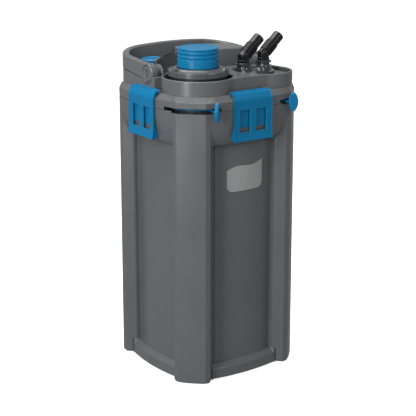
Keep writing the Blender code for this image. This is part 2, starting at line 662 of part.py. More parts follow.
# ---------------------------------------------------------------- hose connections
def build_hose_adapter(body_mat, elbow_mat, rubber_mat):
    """A round plate with two ports, over a wider flange that fills the turret."""
    body = [(0.0, 0.5290), (0.0345, 0.5290), (0.0360, 0.5275), (0.0360, 0.5215), (0.0325, 0.5205),
            (0.0325, 0.5120), (0.0300, 0.5120), (0.0300, 0.5090), (0.0325, 0.5090), (0.0325, 0.4950),
            (0.0, 0.4950)]
    adapter = turned("hose_adapter", body, body_mat, HOSE_AXIS, 24, closed=False)
    join(adapter, cylinder("turret_flange", 0.0410, 0.5217, 0.5240, None, TURRET_AXIS, 24))
    tube("adapter_seal", 0.0303, 0.0326, 0.5093, 0.5117, rubber_mat, HOSE_AXIS, 24)
    for name, axis in PORTS.items():
        cone = [(0.0, PORT_TOP), (0.0112, PORT_TOP), (0.0118, 0.5390), (0.0124, 0.5282), (0.0, 0.5282)]
        join(adapter, turned(f"port_cone_{name}", cone, None, axis, 14, closed=False))
        cut(adapter, cylinder(f"port_bore_{name}", PORT_BORE, 0.48, 0.60, None, axis, 12))
        build_elbow(f"elbow_{name}", axis, elbow_mat)
    merge_flat_faces(adapter)


def build_elbow(name, axis, mat):
    """A swivelling hose tail: an upright stub, a bend and a ribbed tail that leans over to +X."""
    base = PORT_TOP + GAP
    bend = base + 0.0125
    lean = math.radians(48.0)
    stub = turned(name, [(0.0, bend + 0.0045), (0.0080, bend + 0.0040), (0.0104, bend), (0.0104, base),
                         (0.0, base)], mat, axis, 16, closed=False)
    tail = [(0.0, 0.0460), (0.0086, 0.0460), (0.0097, 0.0440), (0.0097, 0.0275), (0.0112, 0.0260),
            (0.0112, 0.0070), (0.0100, 0.0040), (0.0100, 0.0), (0.0, 0.0)]
    bore = [(0.0, 0.0600), (PORT_BORE, 0.0600), (PORT_BORE, -0.0030), (0.0, -0.0030)]
    for label, profile in (("tail", tail), ("bore", bore)):
        tool = turned(f"{name}_{label}", profile, None, axis, 14, closed=False)
        tool.location = (axis.x, axis.y, bend - 0.0030)
        tool.rotation_euler = (0.0, lean, 0.0)
        if label == "tail":
            join(stub, tool)
        else:
            cut(stub, tool)
    cut(stub, cylinder(f"{name}_stub_bore", PORT_BORE - 0.0003, 0.50, bend - 0.0013, None, axis, 12))


# ---------------------------------------------------------------- levers, handle and latches
def build_lever(name, axis, well_outer, reach, arm_angle, head_angle, mat):
    """A ring round a well, a flat arm through the rim slot and an upright T head."""
    low = LEVER_Z - 0.0021
    high = LEVER_Z + 0.0021
    lever = tube(name, well_outer + 0.0006, well_outer + 0.0056, low, high, mat, axis, 24)
    turn = Matrix.Translation(axis) @ Matrix.Rotation(math.radians(arm_angle), 4, "Z")
    arm = [(well_outer + 0.003, -0.0035, low + 0.0002), (reach - 0.001, 0.0035, high - 0.0002)]
    join(lever, boxes(f"{name}_arm", [arm], turn=turn))
    head = []
    for k in range(10):
        angle = 2.0 * math.pi * k / 10
        head.append((0.0077 * math.cos(angle), 0.0158 * math.sin(angle)))
    place = turn @ Matrix.Translation((reach, 0.0, LEVER_Z))
    place = place @ Matrix.Rotation(math.radians(head_angle - arm_angle), 4, "Z")
    rings = []
    for out, scale in ((-0.0032, 0.86), (-0.0021, 1.0), (0.0015, 1.0), (0.0033, 0.78)):
        rings.append([place @ Vector((out, y * scale, z * scale)) for y, z in head])
    join(lever, loft(f"{name}_head", rings, None))


def build_handle(mat, cap_mat):
    handle = loft("carry_handle", handle_rings(), mat)
    set_origin(handle, HANDLE_AXIS)
    for side, label in ((-1.0, "left"), (1.0, "right")):
        middle = side * (HANDLE_OUT - HANDLE_ARM / 2.0)
        half = HANDLE_ARM / 2.0 + GAP
        hub = cylinder(f"hub_{label}", HUB_RADIUS, -half, half, None, steps=20)
        well = cylinder(f"hub_well_{label}", 0.0140, 0.0, 0.02, None, steps=16)
        eye = cylinder(f"hub_eye_{label}", 0.0056, -0.02, 0.02, None, steps=12)
        for tool in (hub, well, eye):
            tool.location = (middle, HANDLE_AXIS.y, HANDLE_AXIS.z)
            tool.rotation_euler = (0.0, side * math.pi / 2.0, 0.0)
        join(handle, hub)
        cut(handle, well)
        cut(handle, eye)
        profile = [(0.0, 0.0060), (0.0130, 0.0060), (0.0137, 0.0050), (0.0137, 0.0003), (0.0052, 0.0003),
                   (0.0052, -0.0150), (0.0, -0.0150)]
        cap = turned(f"pivot_cap_{label}", profile, cap_mat, (middle, HANDLE_AXIS.y, HANDLE_AXIS.z), 16,
                     closed=False)
        cap.rotation_euler = (0.0, side * math.pi / 2.0, 0.0)
        for k in (-1.0, 1.0):
            hole = cylinder(f"cap_hole_{label}_{int(k)}", 0.0018, 0.0035, 0.0100, None, steps=10)
            hole.location = (middle, HANDLE_AXIS.y + k * 0.0004, HANDLE_AXIS.z + k * 0.0040)
            hole.rotation_euler = (0.0, side * math.pi / 2.0, 0.0)
            cut(cap, hole)
    merge_flat_faces(handle)


def latch_section():
    """Side view of the latch plate: over the chamfer, down the face and out at the finger lip."""
    outer = [(-0.1216, 0.5085), (-0.1250, 0.5076), (-0.1372, 0.4978), (-0.1383, 0.4950), (-0.1383, 0.4440),
             (-0.1396, 0.4370), (-0.1432, 0.4255)]
    inner = [(-0.1408, 0.4250), (-0.1372, 0.4365), (-0.1358, 0.4440), (-0.1358, 0.4950), (-0.1350, 0.4968),
             (-0.1243, 0.5052), (-0.1216, 0.5048)]
    return outer + inner


def build_latch(label, index, latch_mat, hook_mat, pin_mat):
    turn = side_turn(index)
    half = LATCH_WIDTH / 2.0
    rings = [[turn @ Vector((x, y, z)) for y, z in latch_section()] for x in (-half, half)]
    latch = loft(f"latch_{label}", rings, latch_mat)
    pin_place = turn @ LATCH_PIN
    set_origin(latch, pin_place)
    roll = turn.to_euler()
    barrel = cylinder(f"latch_barrel_{label}", 0.0022, 0.0005 - half, half - 0.0005, None, steps=12)
    bore = cylinder(f"latch_bore_{label}", 0.0014, -0.06, 0.06, None, steps=8)
    pin = cylinder(f"latch_pin_{label}", 0.0010, -half - 0.0028, half + 0.0028, pin_mat, steps=8)
    for tool in (barrel, bore, pin):
        tool.location = pin_place
        tool.rotation_euler = (0.0, math.pi / 2.0, roll.z)
    join(latch, barrel)
    for k, (left, right) in enumerate(((-0.0270, -0.0065), (0.0065, 0.0270))):
        span = [(left, -0.15, 0.4405), (right, -0.13, 0.4775)]
        cut(latch, boxes(f"latch_window_{label}_{k}", [span], turn=turn))
    cut(latch, bore)
    hook = [(-0.1340, 0.4850), (-0.1354, 0.4850), (-0.1354, 0.4300), (-0.1340, 0.4300)]
    rings = [[turn @ Vector((x, y, z)) for y, z in hook] for x in (-0.0300, 0.0300)]
    plate = loft(f"latch_hook_{label}", rings, hook_mat)
    set_origin(plate, pin_place)


def build_pin_lugs(cover):
    """Small knuckles on the ledge that hold the ends of the latch pins."""
    half = LATCH_WIDTH / 2.0 + 0.0004
    for index in range(4):
        for k, side in enumerate((-1.0, 1.0)):
            low = min(side * half, side * (half + 0.0026))
            high = max(side * half, side * (half + 0.0026))
            span = [(low, -0.1240, 0.5010), (high, -0.1195, 0.5081)]
            join(cover, boxes(f"pin_lug_{index}_{k}", [span], turn=side_turn(index)))
        bore = cylinder(f"pin_lug_bore_{index}", 0.0014, -0.06, 0.06, None, steps=8)
        bore.location = side_turn(index) @ LATCH_PIN
        bore.rotation_euler = (0.0, math.pi / 2.0, math.radians(90.0 * index))
        cut(cover, bore)


# ---------------------------------------------------------------- the whole filter
clear_scene()
PARTS = new_collection("canister_filter")
CUTTERS = new_collection("cutters")

grey = material("leg_grey", (0.105, 0.108, 0.112), 0.42)
grey_head = material("head_grey", (0.125, 0.125, 0.128), 0.38)
dark = material("dark_plastic", (0.030, 0.032, 0.034), 0.35)
gloss_black = material("gloss_black", (0.010, 0.010, 0.011), 0.12)
blue = material("latch_blue", (0.0, 0.165, 0.400), 0.35)
badge_grey = material("badge_grey", (0.26, 0.26, 0.27), 0.45)
rubber = material("seal_rubber", (0.020, 0.020, 0.020), 0.80)
foam_blue = material("filter_foam", (0.030, 0.120, 0.260), 0.95)
basket_grey = material("basket_grey", (0.220, 0.220, 0.225), 0.50)
steel = material("pin_steel", (0.600, 0.600, 0.600), 0.25, 1.0)
ceramic = material("shaft_ceramic", (0.750, 0.740, 0.700), 0.30)

build_container(grey)
build_feet(rubber)
build_badge(badge_grey)
build_baskets(basket_grey, foam_blue)
head_base = build_head_base(dark)
build_head_seal(rubber)
head_cover = build_head_cover(grey_head)
build_pin_lugs(head_cover)
build_cover_screws(head_cover, head_base, steel)
merge_flat_faces(head_cover)
build_cord_gland(rubber)
build_primer(blue, steel)
build_motor(dark, basket_grey, ceramic, rubber, dark)
build_prefilter(dark, dark, blue, foam_blue, rubber)
build_hose_adapter(dark, gloss_black, rubber)
build_lever("prefilter_lever", FILTER_AXIS, FILTER_WELL + WELL_WALL, LEVER_REACH, 225.0 + LEVER_HALF_TURN,
            225.0 + LEVER_HALF_TURN + 55.0, blue)
build_lever("hose_lever", HOSE_AXIS, HOSE_WELL + WELL_WALL, LEVER_REACH, 315.0 - HOSE_LEVER_HALF_TURN,
            315.0 - HOSE_LEVER_HALF_TURN - 58.0, blue)
build_handle(grey_head, grey_head)
for side_index, side_name in enumerate(("front", "right", "back", "left")):
    build_latch(side_name, side_index, blue, blue, steel)
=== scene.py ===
"""The looks of the canister filter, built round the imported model.  Shapes are drawn in millimetres."""

import json
import math

import bmesh
import bpy
from mathutils import Matrix, Vector


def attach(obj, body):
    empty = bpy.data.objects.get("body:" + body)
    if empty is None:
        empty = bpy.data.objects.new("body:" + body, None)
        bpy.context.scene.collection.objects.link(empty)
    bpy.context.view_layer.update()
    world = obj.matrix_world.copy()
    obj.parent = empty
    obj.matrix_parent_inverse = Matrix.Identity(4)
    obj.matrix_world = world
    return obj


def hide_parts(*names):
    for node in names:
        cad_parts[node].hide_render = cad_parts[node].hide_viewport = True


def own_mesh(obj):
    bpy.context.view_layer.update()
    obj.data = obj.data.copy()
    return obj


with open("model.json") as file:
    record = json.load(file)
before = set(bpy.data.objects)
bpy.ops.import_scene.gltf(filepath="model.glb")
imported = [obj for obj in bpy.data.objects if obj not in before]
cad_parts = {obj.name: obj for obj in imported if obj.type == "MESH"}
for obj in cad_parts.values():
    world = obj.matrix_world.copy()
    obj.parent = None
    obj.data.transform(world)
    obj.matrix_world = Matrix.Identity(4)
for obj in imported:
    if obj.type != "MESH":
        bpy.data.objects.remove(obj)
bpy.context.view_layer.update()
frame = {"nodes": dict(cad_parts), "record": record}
NODES = frame["nodes"]

MM = 0.001
HALF_ROOT = math.sqrt(0.5)

# sizes shared with the CAD, in millimetres
CORNER = 150.5                     # axis to a rim corner along the diagonal
CORNER_HALF = 25.0
SIDE_MID = 133.5                   # axis to the middle of a bowed rim side
PANEL_MID = 113.0
COLLAR_LOW = 417.0
SEAM = 479.0
FILTER = (-58.0, -58.0)
HOSE = (58.0, -58.0)
TURRET = (72.0, -72.0)
PRIMER = (-66.0, 68.0)
DECK = 528.5
PIVOT = (3.0, 530.0)               # y and z of the carry handle's axis
HANDLE_OUT = 121.0
HANDLE_ARM = 12.0
HANDLE_CORNER = 56.0
TRAY_FLOOR = 511.0                 # things stand on the handle's tray from here, 1 mm into its floor
PIN_PLACE = (0.0, -121.6, 506.6)   # middle of the front latch's pin
PIN_BORE = 1.4
LEVER_CORNERS = (225.0, 315.0)     # the two rim corners that a lever passes through, in degrees


# ---------------------------------------------------------------- outlines
def on_diagonal(radius, across):
    """The point radius out along a corner's diagonal and across to its side."""
    return (radius - across) * HALF_ROOT, (radius + across) * HALF_ROOT


def quarter(k, steps):
    """Step k of steps over a quarter turn, in radians."""
    return math.pi / 2.0 * k / steps


def rod(radius, low, high):
    """Profile of a plain round bar, for lathe."""
    return [(0.0, low), (radius, low), (radius, high), (0.0, high)]


def rounded(points, default=0.0, steps=3, closed=True):
    """Fillet the corners of a line; a third number in a point is that corner's own radius."""
    result = []
    count = len(points)
    for i, point in enumerate(points):
        here = Vector(point[:2])
        radius = point[2] if len(point) > 2 else default
        if radius <= 0.0 or (not closed and i in (0, count - 1)):
            result.append(tuple(here))
            continue
        back = Vector(points[i - 1][:2]) - here
        ahead = Vector(points[(i + 1) % count][:2]) - here
        half = back.angle(ahead) / 2.0
        if half > math.pi / 2.0 - 0.01:
            result.append(tuple(here))
            continue
        reach = min(radius / math.tan(half), 0.46 * back.length, 0.46 * ahead.length)
        radius = reach * math.tan(half)
        towards = (back.normalized() + ahead.normalized()).normalized()
        centre = here + towards * (radius / math.sin(half))
        start = here + back.normalized() * reach - centre
        end = here + ahead.normalized() * reach - centre
        sweep = start.angle_signed(end) * -1.0
        for k in range(steps + 1):
            result.append(tuple(centre + Matrix.Rotation(sweep * k / steps, 2) @ start))
    return result


def four_sides(front):
    outline = []
    for turn in range(4):
        for x, y in front:
            for _ in range(turn):
                x, y = -y, x
            outline.append((x, y))
    return outline


def offset(outline, inset):
    """Move a counter-clockwise outline inwards."""
    moved = []
    count = len(outline)
    for i in range(count):
        before = Vector(outline[i - 1][:2])
        here = Vector(outline[i][:2])
        after = Vector(outline[(i + 1) % count][:2])
        first = (here - before).normalized()
        second = (after - here).normalized()
        normal = Vector((-first.y, first.x))
        inward = (normal + Vector((-second.y, second.x))).normalized()
        place = here + inward * (inset / max(0.4, inward.dot(normal)))
        moved.append((place.x, place.y) + tuple(outline[i][2:]))
    return moved


def arc(centre, radius, start, end, steps):
    points = []
    for i in range(steps + 1):
        angle = math.radians(start + (end - start) * i / steps)
        points.append((centre[0] + radius * math.cos(angle), centre[1] + radius * math.sin(angle)))
    return points


def bowed(along, out, mid, steps=20, corner=0.0):
    """Four bowed sides joined by straight corners; corner rounds their ends."""
    side = []
    for i in range(steps + 1):
        x = along * (2.0 * i / steps - 1.0)
        point = (x, -(out + (mid - out) * (1.0 - (x / along) ** 2)))
        side.append(point + (corner,) if i in (0, steps) else point)
    outline = []
    for turn in range(4):
        for point in side:
            x, y = point[:2]
            for _ in range(turn):
                x, y = -y, x
            outline.append((x, y) + point[2:])
    return outline


def rim(inset=0.0):
    outline = bowed(*on_diagonal(CORNER, CORNER_HALF), SIDE_MID, corner=2.5)
    return rounded(offset(outline, inset) if inset else outline)


def rim_out(x):
    """How far out the bowed rim is at x."""
    along, out = on_diagonal(CORNER, CORNER_HALF)
    return out + (SIDE_MID - out) * (1.0 - (x / along) ** 2)


def turned(outline, degrees):
    turn = Matrix.Rotation(math.radians(degrees), 2)
    return [tuple(turn @ Vector(point[:2])) for point in outline]


def facing(centre, degrees):
    """A frame at centre, turned about the upright axis."""
    return Matrix.Translation((*centre, 0.0)) @ Matrix.Rotation(math.radians(degrees), 4, "Z")


def side_turn(index):
    """From the front to side number index: front, right, back, left."""
    return Matrix.Rotation(math.pi / 2.0 * index, 4, "Z")


def along_pin(turn):
    """Lays a turned shape along a latch's pin."""
    return turn @ Matrix.Translation(PIN_PLACE) @ Matrix.Rotation(math.pi / 2.0, 4, "Y")


# ---------------------------------------------------------------- meshes
def to_object(name, bm):
    bmesh.ops.recalc_face_normals(bm, faces=bm.faces)
    bm.transform(Matrix.Scale(MM, 4))
    mesh = bpy.data.meshes.new(name)
    bm.to_mesh(mesh)
    bm.free()
    obj = bpy.data.objects.new(name, mesh)
    bpy.context.scene.collection.objects.link(obj)
    return obj


def skin(name, rings, place=None):
    """Skin over rings of (x, y, z) points with equal counts."""
    bm = bmesh.new()
    rows = []
    for ring in rings:
        points = [Vector(p) for p in ring]
        if place is not None:
            points = [place @ p for p in points]
        rows.append([bm.verts.new(p) for p in points])
    for low, high in zip(rows, rows[1:]):
        count = len(low)
        for i in range(count):
            j = (i + 1) % count
            bm.faces.new((low[i], low[j], high[j], high[i]))
    bm.faces.new(rows[0][::-1])
    bm.faces.new(rows[-1])
    return to_object(name, bm)


def at(outline, z):
    return [(p[0], p[1], z) for p in outline]


def lip(outline, low, high, radius, steps=4, foot=0.0):
    """An upright prism with a rounded top edge, and a rounded foot if asked."""
    rings = []
    if foot:
        for k in range(steps):
            angle = quarter(k, steps)
            level = low + foot * (1.0 - math.cos(angle))
            rings.append(at(offset(outline, foot * (1.0 - math.sin(angle))), level))
        rings.append(at(outline, low + foot))
    else:
        rings.append(at(outline, low))
    if radius:
        rings.append(at(outline, high - radius))
        for k in range(1, steps + 1):
            angle = quarter(k, steps)
            level = high - radius * (1.0 - math.sin(angle))
            rings.append(at(offset(outline, radius * (1.0 - math.cos(angle))), level))
    else:
        rings.append(at(outline, high))
    return skin("tool", rings)


def lathe(name, profile, centre=(0.0, 0.0), steps=64, round_by=0.0, place=None, closed=False):
    """Turn a profile of (radius, height) round an upright axis."""
    points = rounded(profile, round_by, 3, closed=closed)
    bm = bmesh.new()
    rows = []
    for radius, height in points:
        row = []
        for k in range(1 if radius < 1e-6 else steps):
            angle = 2.0 * math.pi * k / steps
            x, y = centre[0] + radius * math.cos(angle), centre[1] + radius * math.sin(angle)
            point = Vector((x, y, height))
            row.append(bm.verts.new(place @ point if place is not None else point))
        rows.append(row)
    pairs = list(zip(rows, rows[1:])) + ([(rows[-1], rows[0])] if closed else [])
    for upper, lower in pairs:
        for k in range(steps):
            corners = []
            for row, index in ((upper, k), (upper, k + 1), (lower, k + 1), (lower, k)):
                vert = row[index % len(row)]
                if vert not in corners:
                    corners.append(vert)
            if len(corners) > 2:
                bm.faces.new(corners)
    return to_object(name, bm)


def block(low, high, turn=0.0, bevel=0.0, place=None):
    """A box from its lowest and highest corners, turned about the upright axis and bevelled."""
    bm = bmesh.new()
    middle = (Vector(low) + Vector(high)) / 2.0
    size = Vector(high) - Vector(low)
    spin = Matrix.Rotation(math.radians(turn), 4, "Z")
    stretch = Matrix.Translation(middle) @ Matrix.Diagonal((*size, 1.0))
    matrix = (place or Matrix.Identity(4)) @ spin @ stretch
    bmesh.ops.create_cube(bm, size=1.0, matrix=matrix)
    if bevel:
        bmesh.ops.bevel(bm, geom=bm.edges[:], offset=bevel, segments=2, profile=0.5, affect="EDGES")
    return to_object("tool", bm)


def latch_pocket(index):
    """The shallow flat that each latch lies in, across the rim and the collar."""
    return block((-39.4, -170.0, 424.0), (39.4, -131.3, 501.0), 90.0 * index)


def apply_all(obj):
    """Put the result of the modifiers in place of the mesh."""
    graph = bpy.context.evaluated_depsgraph_get()
    mesh = bpy.data.meshes.new_from_object(obj.evaluated_get(graph))
    old = obj.data
    obj.modifiers.clear()
    obj.data = mesh
    bpy.data.meshes.remove(old)


def close_up(mesh):
    """Merge the slivers a boolean leaves and close any pinhole."""
    bm = bmesh.new()
    bm.from_mesh(mesh)
    bmesh.ops.remove_doubles(bm, verts=bm.verts, dist=1e-5)
    bmesh.ops.dissolve_degenerate(bm, edges=bm.edges, dist=5e-6)
    for _ in range(3):
        bare = [edge for edge in bm.edges if len(edge.link_faces) < 2]
        if not bare:
            break
        bmesh.ops.delete(bm, geom=[edge for edge in bare if not edge.link_faces], context="EDGES")
        bare = [edge for edge in bm.edges if len(edge.link_faces) == 1]
        bmesh.ops.holes_fill(bm, edges=bare, sides=0)
    bmesh.ops.recalc_face_normals(bm, faces=bm.faces)
    bm.to_mesh(mesh)
    bm.free()


def combine(obj, steps):
    """Apply a list of (operation, tool) booleans in order and remove the tools."""
    for operation, tool in steps:
        modifier = obj.modifiers.new("step", "BOOLEAN")
        modifier.operation = operation
        modifier.solver = "EXACT"
        modifier.object = tool
    apply_all(obj)
    close_up(obj.data)
    for _, tool in steps:
        mesh = tool.data
        bpy.data.objects.remove(tool)
        bpy.data.meshes.remove(mesh)
    return obj


def add(tool):
    return "UNION", tool


def cut(tool):
    return "DIFFERENCE", tool


def piece(obj, body, mats, stands_for, sharp):
    """Shading, material, body and CAD nodes of a finished piece."""
    mesh = obj.data
    mesh.materials.clear()
    for mat in mats if isinstance(mats, (list, tuple)) else [mats]:
        mesh.materials.append(mat)
    mesh.shade_smooth()
    mesh.set_sharp_from_angle(angle=math.radians(sharp))
    weighted = obj.modifiers.new("weighted", "WEIGHTED_NORMAL")
    weighted.keep_sharp = True
    weighted.weight = 80
    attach(obj, body)
    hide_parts(*stands_for)


# ---------------------------------------------------------------- materials
def shader_tree(name):
    """A new material, its tree, its shader and the object coordinates."""
    mat = bpy.data.materials.new(name)
    mat.use_nodes = True
    tree = mat.node_tree
    place = tree.nodes.new("ShaderNodeTexCoord").outputs["Object"]
    return mat, tree, tree.nodes["Principled BSDF"], place


def preset(node, values):
    """Set sockets that hold one value."""
    for socket, value in values.items():
        node.inputs[socket].default_value = value


def noise(tree, vector, scale, detail=3.0, rough=0.5):
    node = tree.nodes.new("ShaderNodeTexNoise")
    preset(node, {"Scale": scale, "Detail": detail, "Roughness": rough})
    tree.links.new(vector, node.inputs["Vector"])
    return node.outputs["Fac"]


def stretched(tree, vector, scale):
    node = tree.nodes.new("ShaderNodeMapping")
    preset(node, {"Scale": scale})
    tree.links.new(vector, node.inputs["Vector"])
    return node.outputs["Vector"]


def mapped(tree, value, low, high, start=0.3, end=0.7):
    """Spread value's range start to end over low to high."""
    node = tree.nodes.new("ShaderNodeMapRange")
    preset(node, {"From Min": start, "From Max": end, "To Min": low, "To Max": high})
    tree.links.new(value, node.inputs["Value"])
    return node.outputs["Result"]


def blended(tree, factor, first, second):
    """Mix two colours, each a tuple or a socket."""
    node = tree.nodes.new("ShaderNodeMix")
    node.data_type = "RGBA"
    tree.links.new(factor, node.inputs["Factor"])
    for index, colour in ((6, first), (7, second)):
        if isinstance(colour, tuple):
            node.inputs[index].default_value = (*colour, 1.0)
        else:
            tree.links.new(colour, node.inputs[index])
    return node.outputs[2]


def summed(tree, first, second, share):
    """first plus a share of second."""
    node = tree.nodes.new("ShaderNodeMath")
    node.operation = "MULTIPLY_ADD"
    tree.links.new(second, node.inputs[0])
    node.inputs[1].default_value = share
    tree.links.new(first, node.inputs[2])
    return node.outputs["Value"]


def bumped(tree, shader, height, strength, distance, invert=False):
    bump = tree.nodes.new("ShaderNodeBump")
    bump.invert = invert
    preset(bump, {"Strength": strength, "Distance": distance})
    tree.links.new(height, bump.inputs["Height"])
    tree.links.new(bump.outputs["Normal"], shader.inputs["Normal"])


def tint(colour, by):
    return tuple(min(1.0, c * by) for c in colour)


BROAD_SCALE = 16.0
CLOUD_SCALE = 70.0
GRAIN_SCALE = 1600.0
GRAIN_DEPTH = 0.0002
FLOW_STRETCH = (700.0, 700.0, 14.0)


def plastic(name, colour, rough, grain=0.05, spread=0.05, streaks=0.0, second=None, level=0.5,
            coat=0.0):
    """Moulded plastic: a fine spark-eroded grain, faint flow marks and slightly uneven gloss."""
    mat, tree, shader, place = shader_tree(name)
    broad = noise(tree, place, BROAD_SCALE, 4.0)
    colours = blended(tree, mapped(tree, broad, 0.0, 1.0), tint(colour, 1.0 - spread),
                      tint(colour, 1.0 + spread))
    if second:
        colours = second(tree, place, colours)
    tree.links.new(colours, shader.inputs["Base Color"])
    cloudy = noise(tree, place, CLOUD_SCALE, 3.0)
    tree.links.new(mapped(tree, cloudy, rough - 0.03, rough + 0.05), shader.inputs["Roughness"])
    height = noise(tree, place, GRAIN_SCALE, 2.0)
    if streaks:
        flow = noise(tree, stretched(tree, place, FLOW_STRETCH), 1.0, 3.0, 0.6)
        height = summed(tree, height, flow, streaks)
    bumped(tree, shader, height, grain, GRAIN_DEPTH)
    preset(shader, {"Specular IOR Level": level})
    if coat:
        preset(shader, {"Coat Weight": coat, "Coat Roughness": 0.08})
    return mat


WARM_TINT = (0.104, 0.092, 0.080)
CLOUD_TINT = (0.086, 0.083, 0.083)
# colour of the painted shade at the foot of the tank wall
LOW_SHADE_TINT = (0.040, 0.041, 0.044)


def smoke_and_low_shade(tree, place, colours):
    """The tank wall looks smoky: warmer on the left side and cloudy, with painted shade darkening it towards
    the floor.
    """
    split = tree.nodes.new("ShaderNodeSeparateXYZ")
    tree.links.new(place, split.inputs["Vector"])
    side = mapped(tree, split.outputs["X"], 1.0, 0.0, -0.108, -0.060)
    patches = mapped(tree, noise(tree, stretched(tree, place, (9.0, 9.0, 5.0)), 1.0, 2.0), 0.0, 0.5)
    warm = blended(tree, side, colours, WARM_TINT)
    clouded = blended(tree, patches, warm, CLOUD_TINT)
    # painted shade: the wall's colour darkens towards the floor
    height = mapped(tree, split.outputs["Z"], 0.0, 1.0, 0.02, 0.24)
    return blended(tree, height, LOW_SHADE_TINT, clouded)


def porous(name, colour, scale, depth):
    """Open-cell foam, with painted shade darkening the hollows of its cells."""
    mat, tree, shader, place = shader_tree(name)
    cells = tree.nodes.new("ShaderNodeTexVoronoi")
    preset(cells, {"Scale": scale})
    tree.links.new(place, cells.inputs["Vector"])
    distance = cells.outputs["Distance"]
    # painted shade: the colour darkens away from each cell's middle, into the hollows
    shade = mapped(tree, distance, 0.0, 1.0, 0.1, 0.6)
    tree.links.new(blended(tree, shade, tint(colour, 1.25), tint(colour, 0.35)),
                   shader.inputs["Base Color"])
    bumped(tree, shader, distance, 0.8, depth, invert=True)
    preset(shader, {"Roughness": 0.95, "Specular IOR Level": 0.15})
    return mat


def metal(name, colour, rough):
    mat, tree, shader, place = shader_tree(name)
    marks = noise(tree, stretched(tree, place, (60.0, 900.0, 900.0)), 1.0, 3.0)
    tree.links.new(mapped(tree, marks, rough - 0.06, rough + 0.10), shader.inputs["Roughness"])
    shades = blended(tree, marks, tint(colour, 0.9), tint(colour, 1.08))
    tree.links.new(shades, shader.inputs["Base Color"])
    preset(shader, {"Metallic": 1.0})
    return mat


body_grey = plastic("body_grey", (0.092, 0.096, 0.103), 0.29, streaks=0.5)
panel_grey = plastic("panel_grey", (0.078, 0.081, 0.086), 0.26, grain=0.03, spread=0.06,
                     second=smoke_and_low_shade, level=0.4)
head_grey = plastic("head_grey", (0.096, 0.099, 0.104), 0.27, streaks=0.6)
dark_plastic = plastic("dark_plastic", (0.040, 0.043, 0.046), 0.30)
ring_grey = plastic("ring_grey", (0.062, 0.065, 0.069), 0.26)
adapter_black = plastic("adapter_black", (0.024, 0.026, 0.030), 0.16, coat=0.3)
gloss_black = plastic("gloss_black", (0.004, 0.004, 0.005), 0.12, grain=0.01, spread=0.15,
                      level=0.35, coat=0.1)
blue = plastic("latch_blue", (0.000, 0.133, 0.282), 0.30, grain=0.06, spread=0.04, level=0.22)
badge_grey = plastic("badge_grey", (0.270, 0.272, 0.275), 0.34, grain=0.04)
rubber = plastic("seal_rubber", (0.018, 0.018, 0.019), 0.70, grain=0.2, spread=0.12, level=0.3)
basket_grey = plastic("basket_grey", (0.220, 0.222, 0.226), 0.45)
ceramic = plastic("shaft_ceramic", (0.720, 0.700, 0.650), 0.25, spread=0.03)
blue_foam = porous("blue_foam", (0.030, 0.150, 0.340), 420.0, 0.0012)
steel = metal("steel", (0.560, 0.560, 0.550), 0.28)
MATERIALS = {"body_grey": body_grey, "head_grey": head_grey, "dark_plastic": dark_plastic,
             "gloss_black": gloss_black, "blue_plastic": blue, "badge_grey": badge_grey,
             "rubber": rubber, "foam": blue_foam, "basket_grey": basket_grey, "steel": steel,
             "ceramic": ceramic}


# ---------------------------------------------------------------- container
WALL_STATIONS = (74.2, 72.4, 71.4, 70.9, 70.4, 69.8, 69.3, 68.7, 67.6, 66.6)
GROOVE_STATIONS = ((65.9, 110.9), (65.4, 110.0), (65.0, 108.0), (64.8, 104.6), (64.4, 103.0), (63.6, 102.4),
                   (61.0, 102.3), (58.6, 102.4), (57.8, 102.9), (57.4, 103.8), (56.9, 104.6), (56.2, 104.95))
PANEL_STATIONS = (54.5, 52.0, 48.5, 44.0, 39.0, 33.0, 26.0, 18.0, 9.0, 0.0)
PLINTH_END = 69.2
RIM_CORNER_X = 88.8
LEG_CHAMFER = 7.0
PLINTH_TOP = 28.4
TANK_TOP = 421.0


def panel_out(x):
    """How far out the bowed tank wall is at x."""
    return PANEL_MID - 8.0 * (x / 56.0) ** 2


def soft_max(a, b, blend):
    """The larger of a and b, with a fillet of about blend where they meet."""
    near = max(blend - abs(a - b), 0.0) / blend
    return max(a, b) + near * near * blend / 4.0


def leg_stations(radius, bulge, inset):
    """From the middle of a leg to where its side wall meets the tank, as (x, out)."""
    line = []
    for across in (0.0, 6.5, 13.0, 19.0, CORNER_HALF):
        out = radius - inset + bulge * (1.0 - (across / CORNER_HALF) ** 2)
        line.append(on_diagonal(out, across * (1.0 - inset / CORNER_HALF)))
    line[-1] += (3.5,)
    outer = CORNER_HALF + LEG_CHAMFER - inset
    line.append(on_diagonal(radius - LEG_CHAMFER, outer) + (2.2,))
    line.append(on_diagonal(radius - 12.5, outer))
    return rounded(line, 0.0, 4, closed=False)


def container_ring(z, plinth=None, swell=None, rounding=0.0):
    """One level of the container's outside: legs, then plinth, tank wall or collar between them."""
    fade = min(1.0, max(0.0, (SEAM - 8.0 - z) / 60.0))
    radius = CORNER + 1.6 * (1.0 - z / SEAM)
    front = []
    for x, out in leg_stations(radius, 1.7 * fade, rounding):
        front.append((x, out))
    for x in WALL_STATIONS:
        front.append((x, x + (CORNER_HALF + LEG_CHAMFER - rounding) / HALF_ROOT))
    front += GROOVE_STATIONS
    front += [(x, panel_out(x)) for x in PANEL_STATIONS]
    shaped = []
    for x, out in front:
        if plinth is not None and x < PLINTH_END:
            out = max(out, 123.0 - 4.5 * (x / 56.0) ** 2 - plinth)
        elif plinth is not None and x < 71.0:
            out -= 3.0
        if swell is not None and x < RIM_CORNER_X:
            out = soft_max(out, rim_out(x) - (SIDE_MID - PANEL_MID) * (1.0 - swell), 2.5 * fade + 0.3)
        shaped.append((-x, -out))
    shaped += [(-x, y) for x, y in reversed(shaped[:-1])]
    return at(four_sides(shaped[:-1]), z)


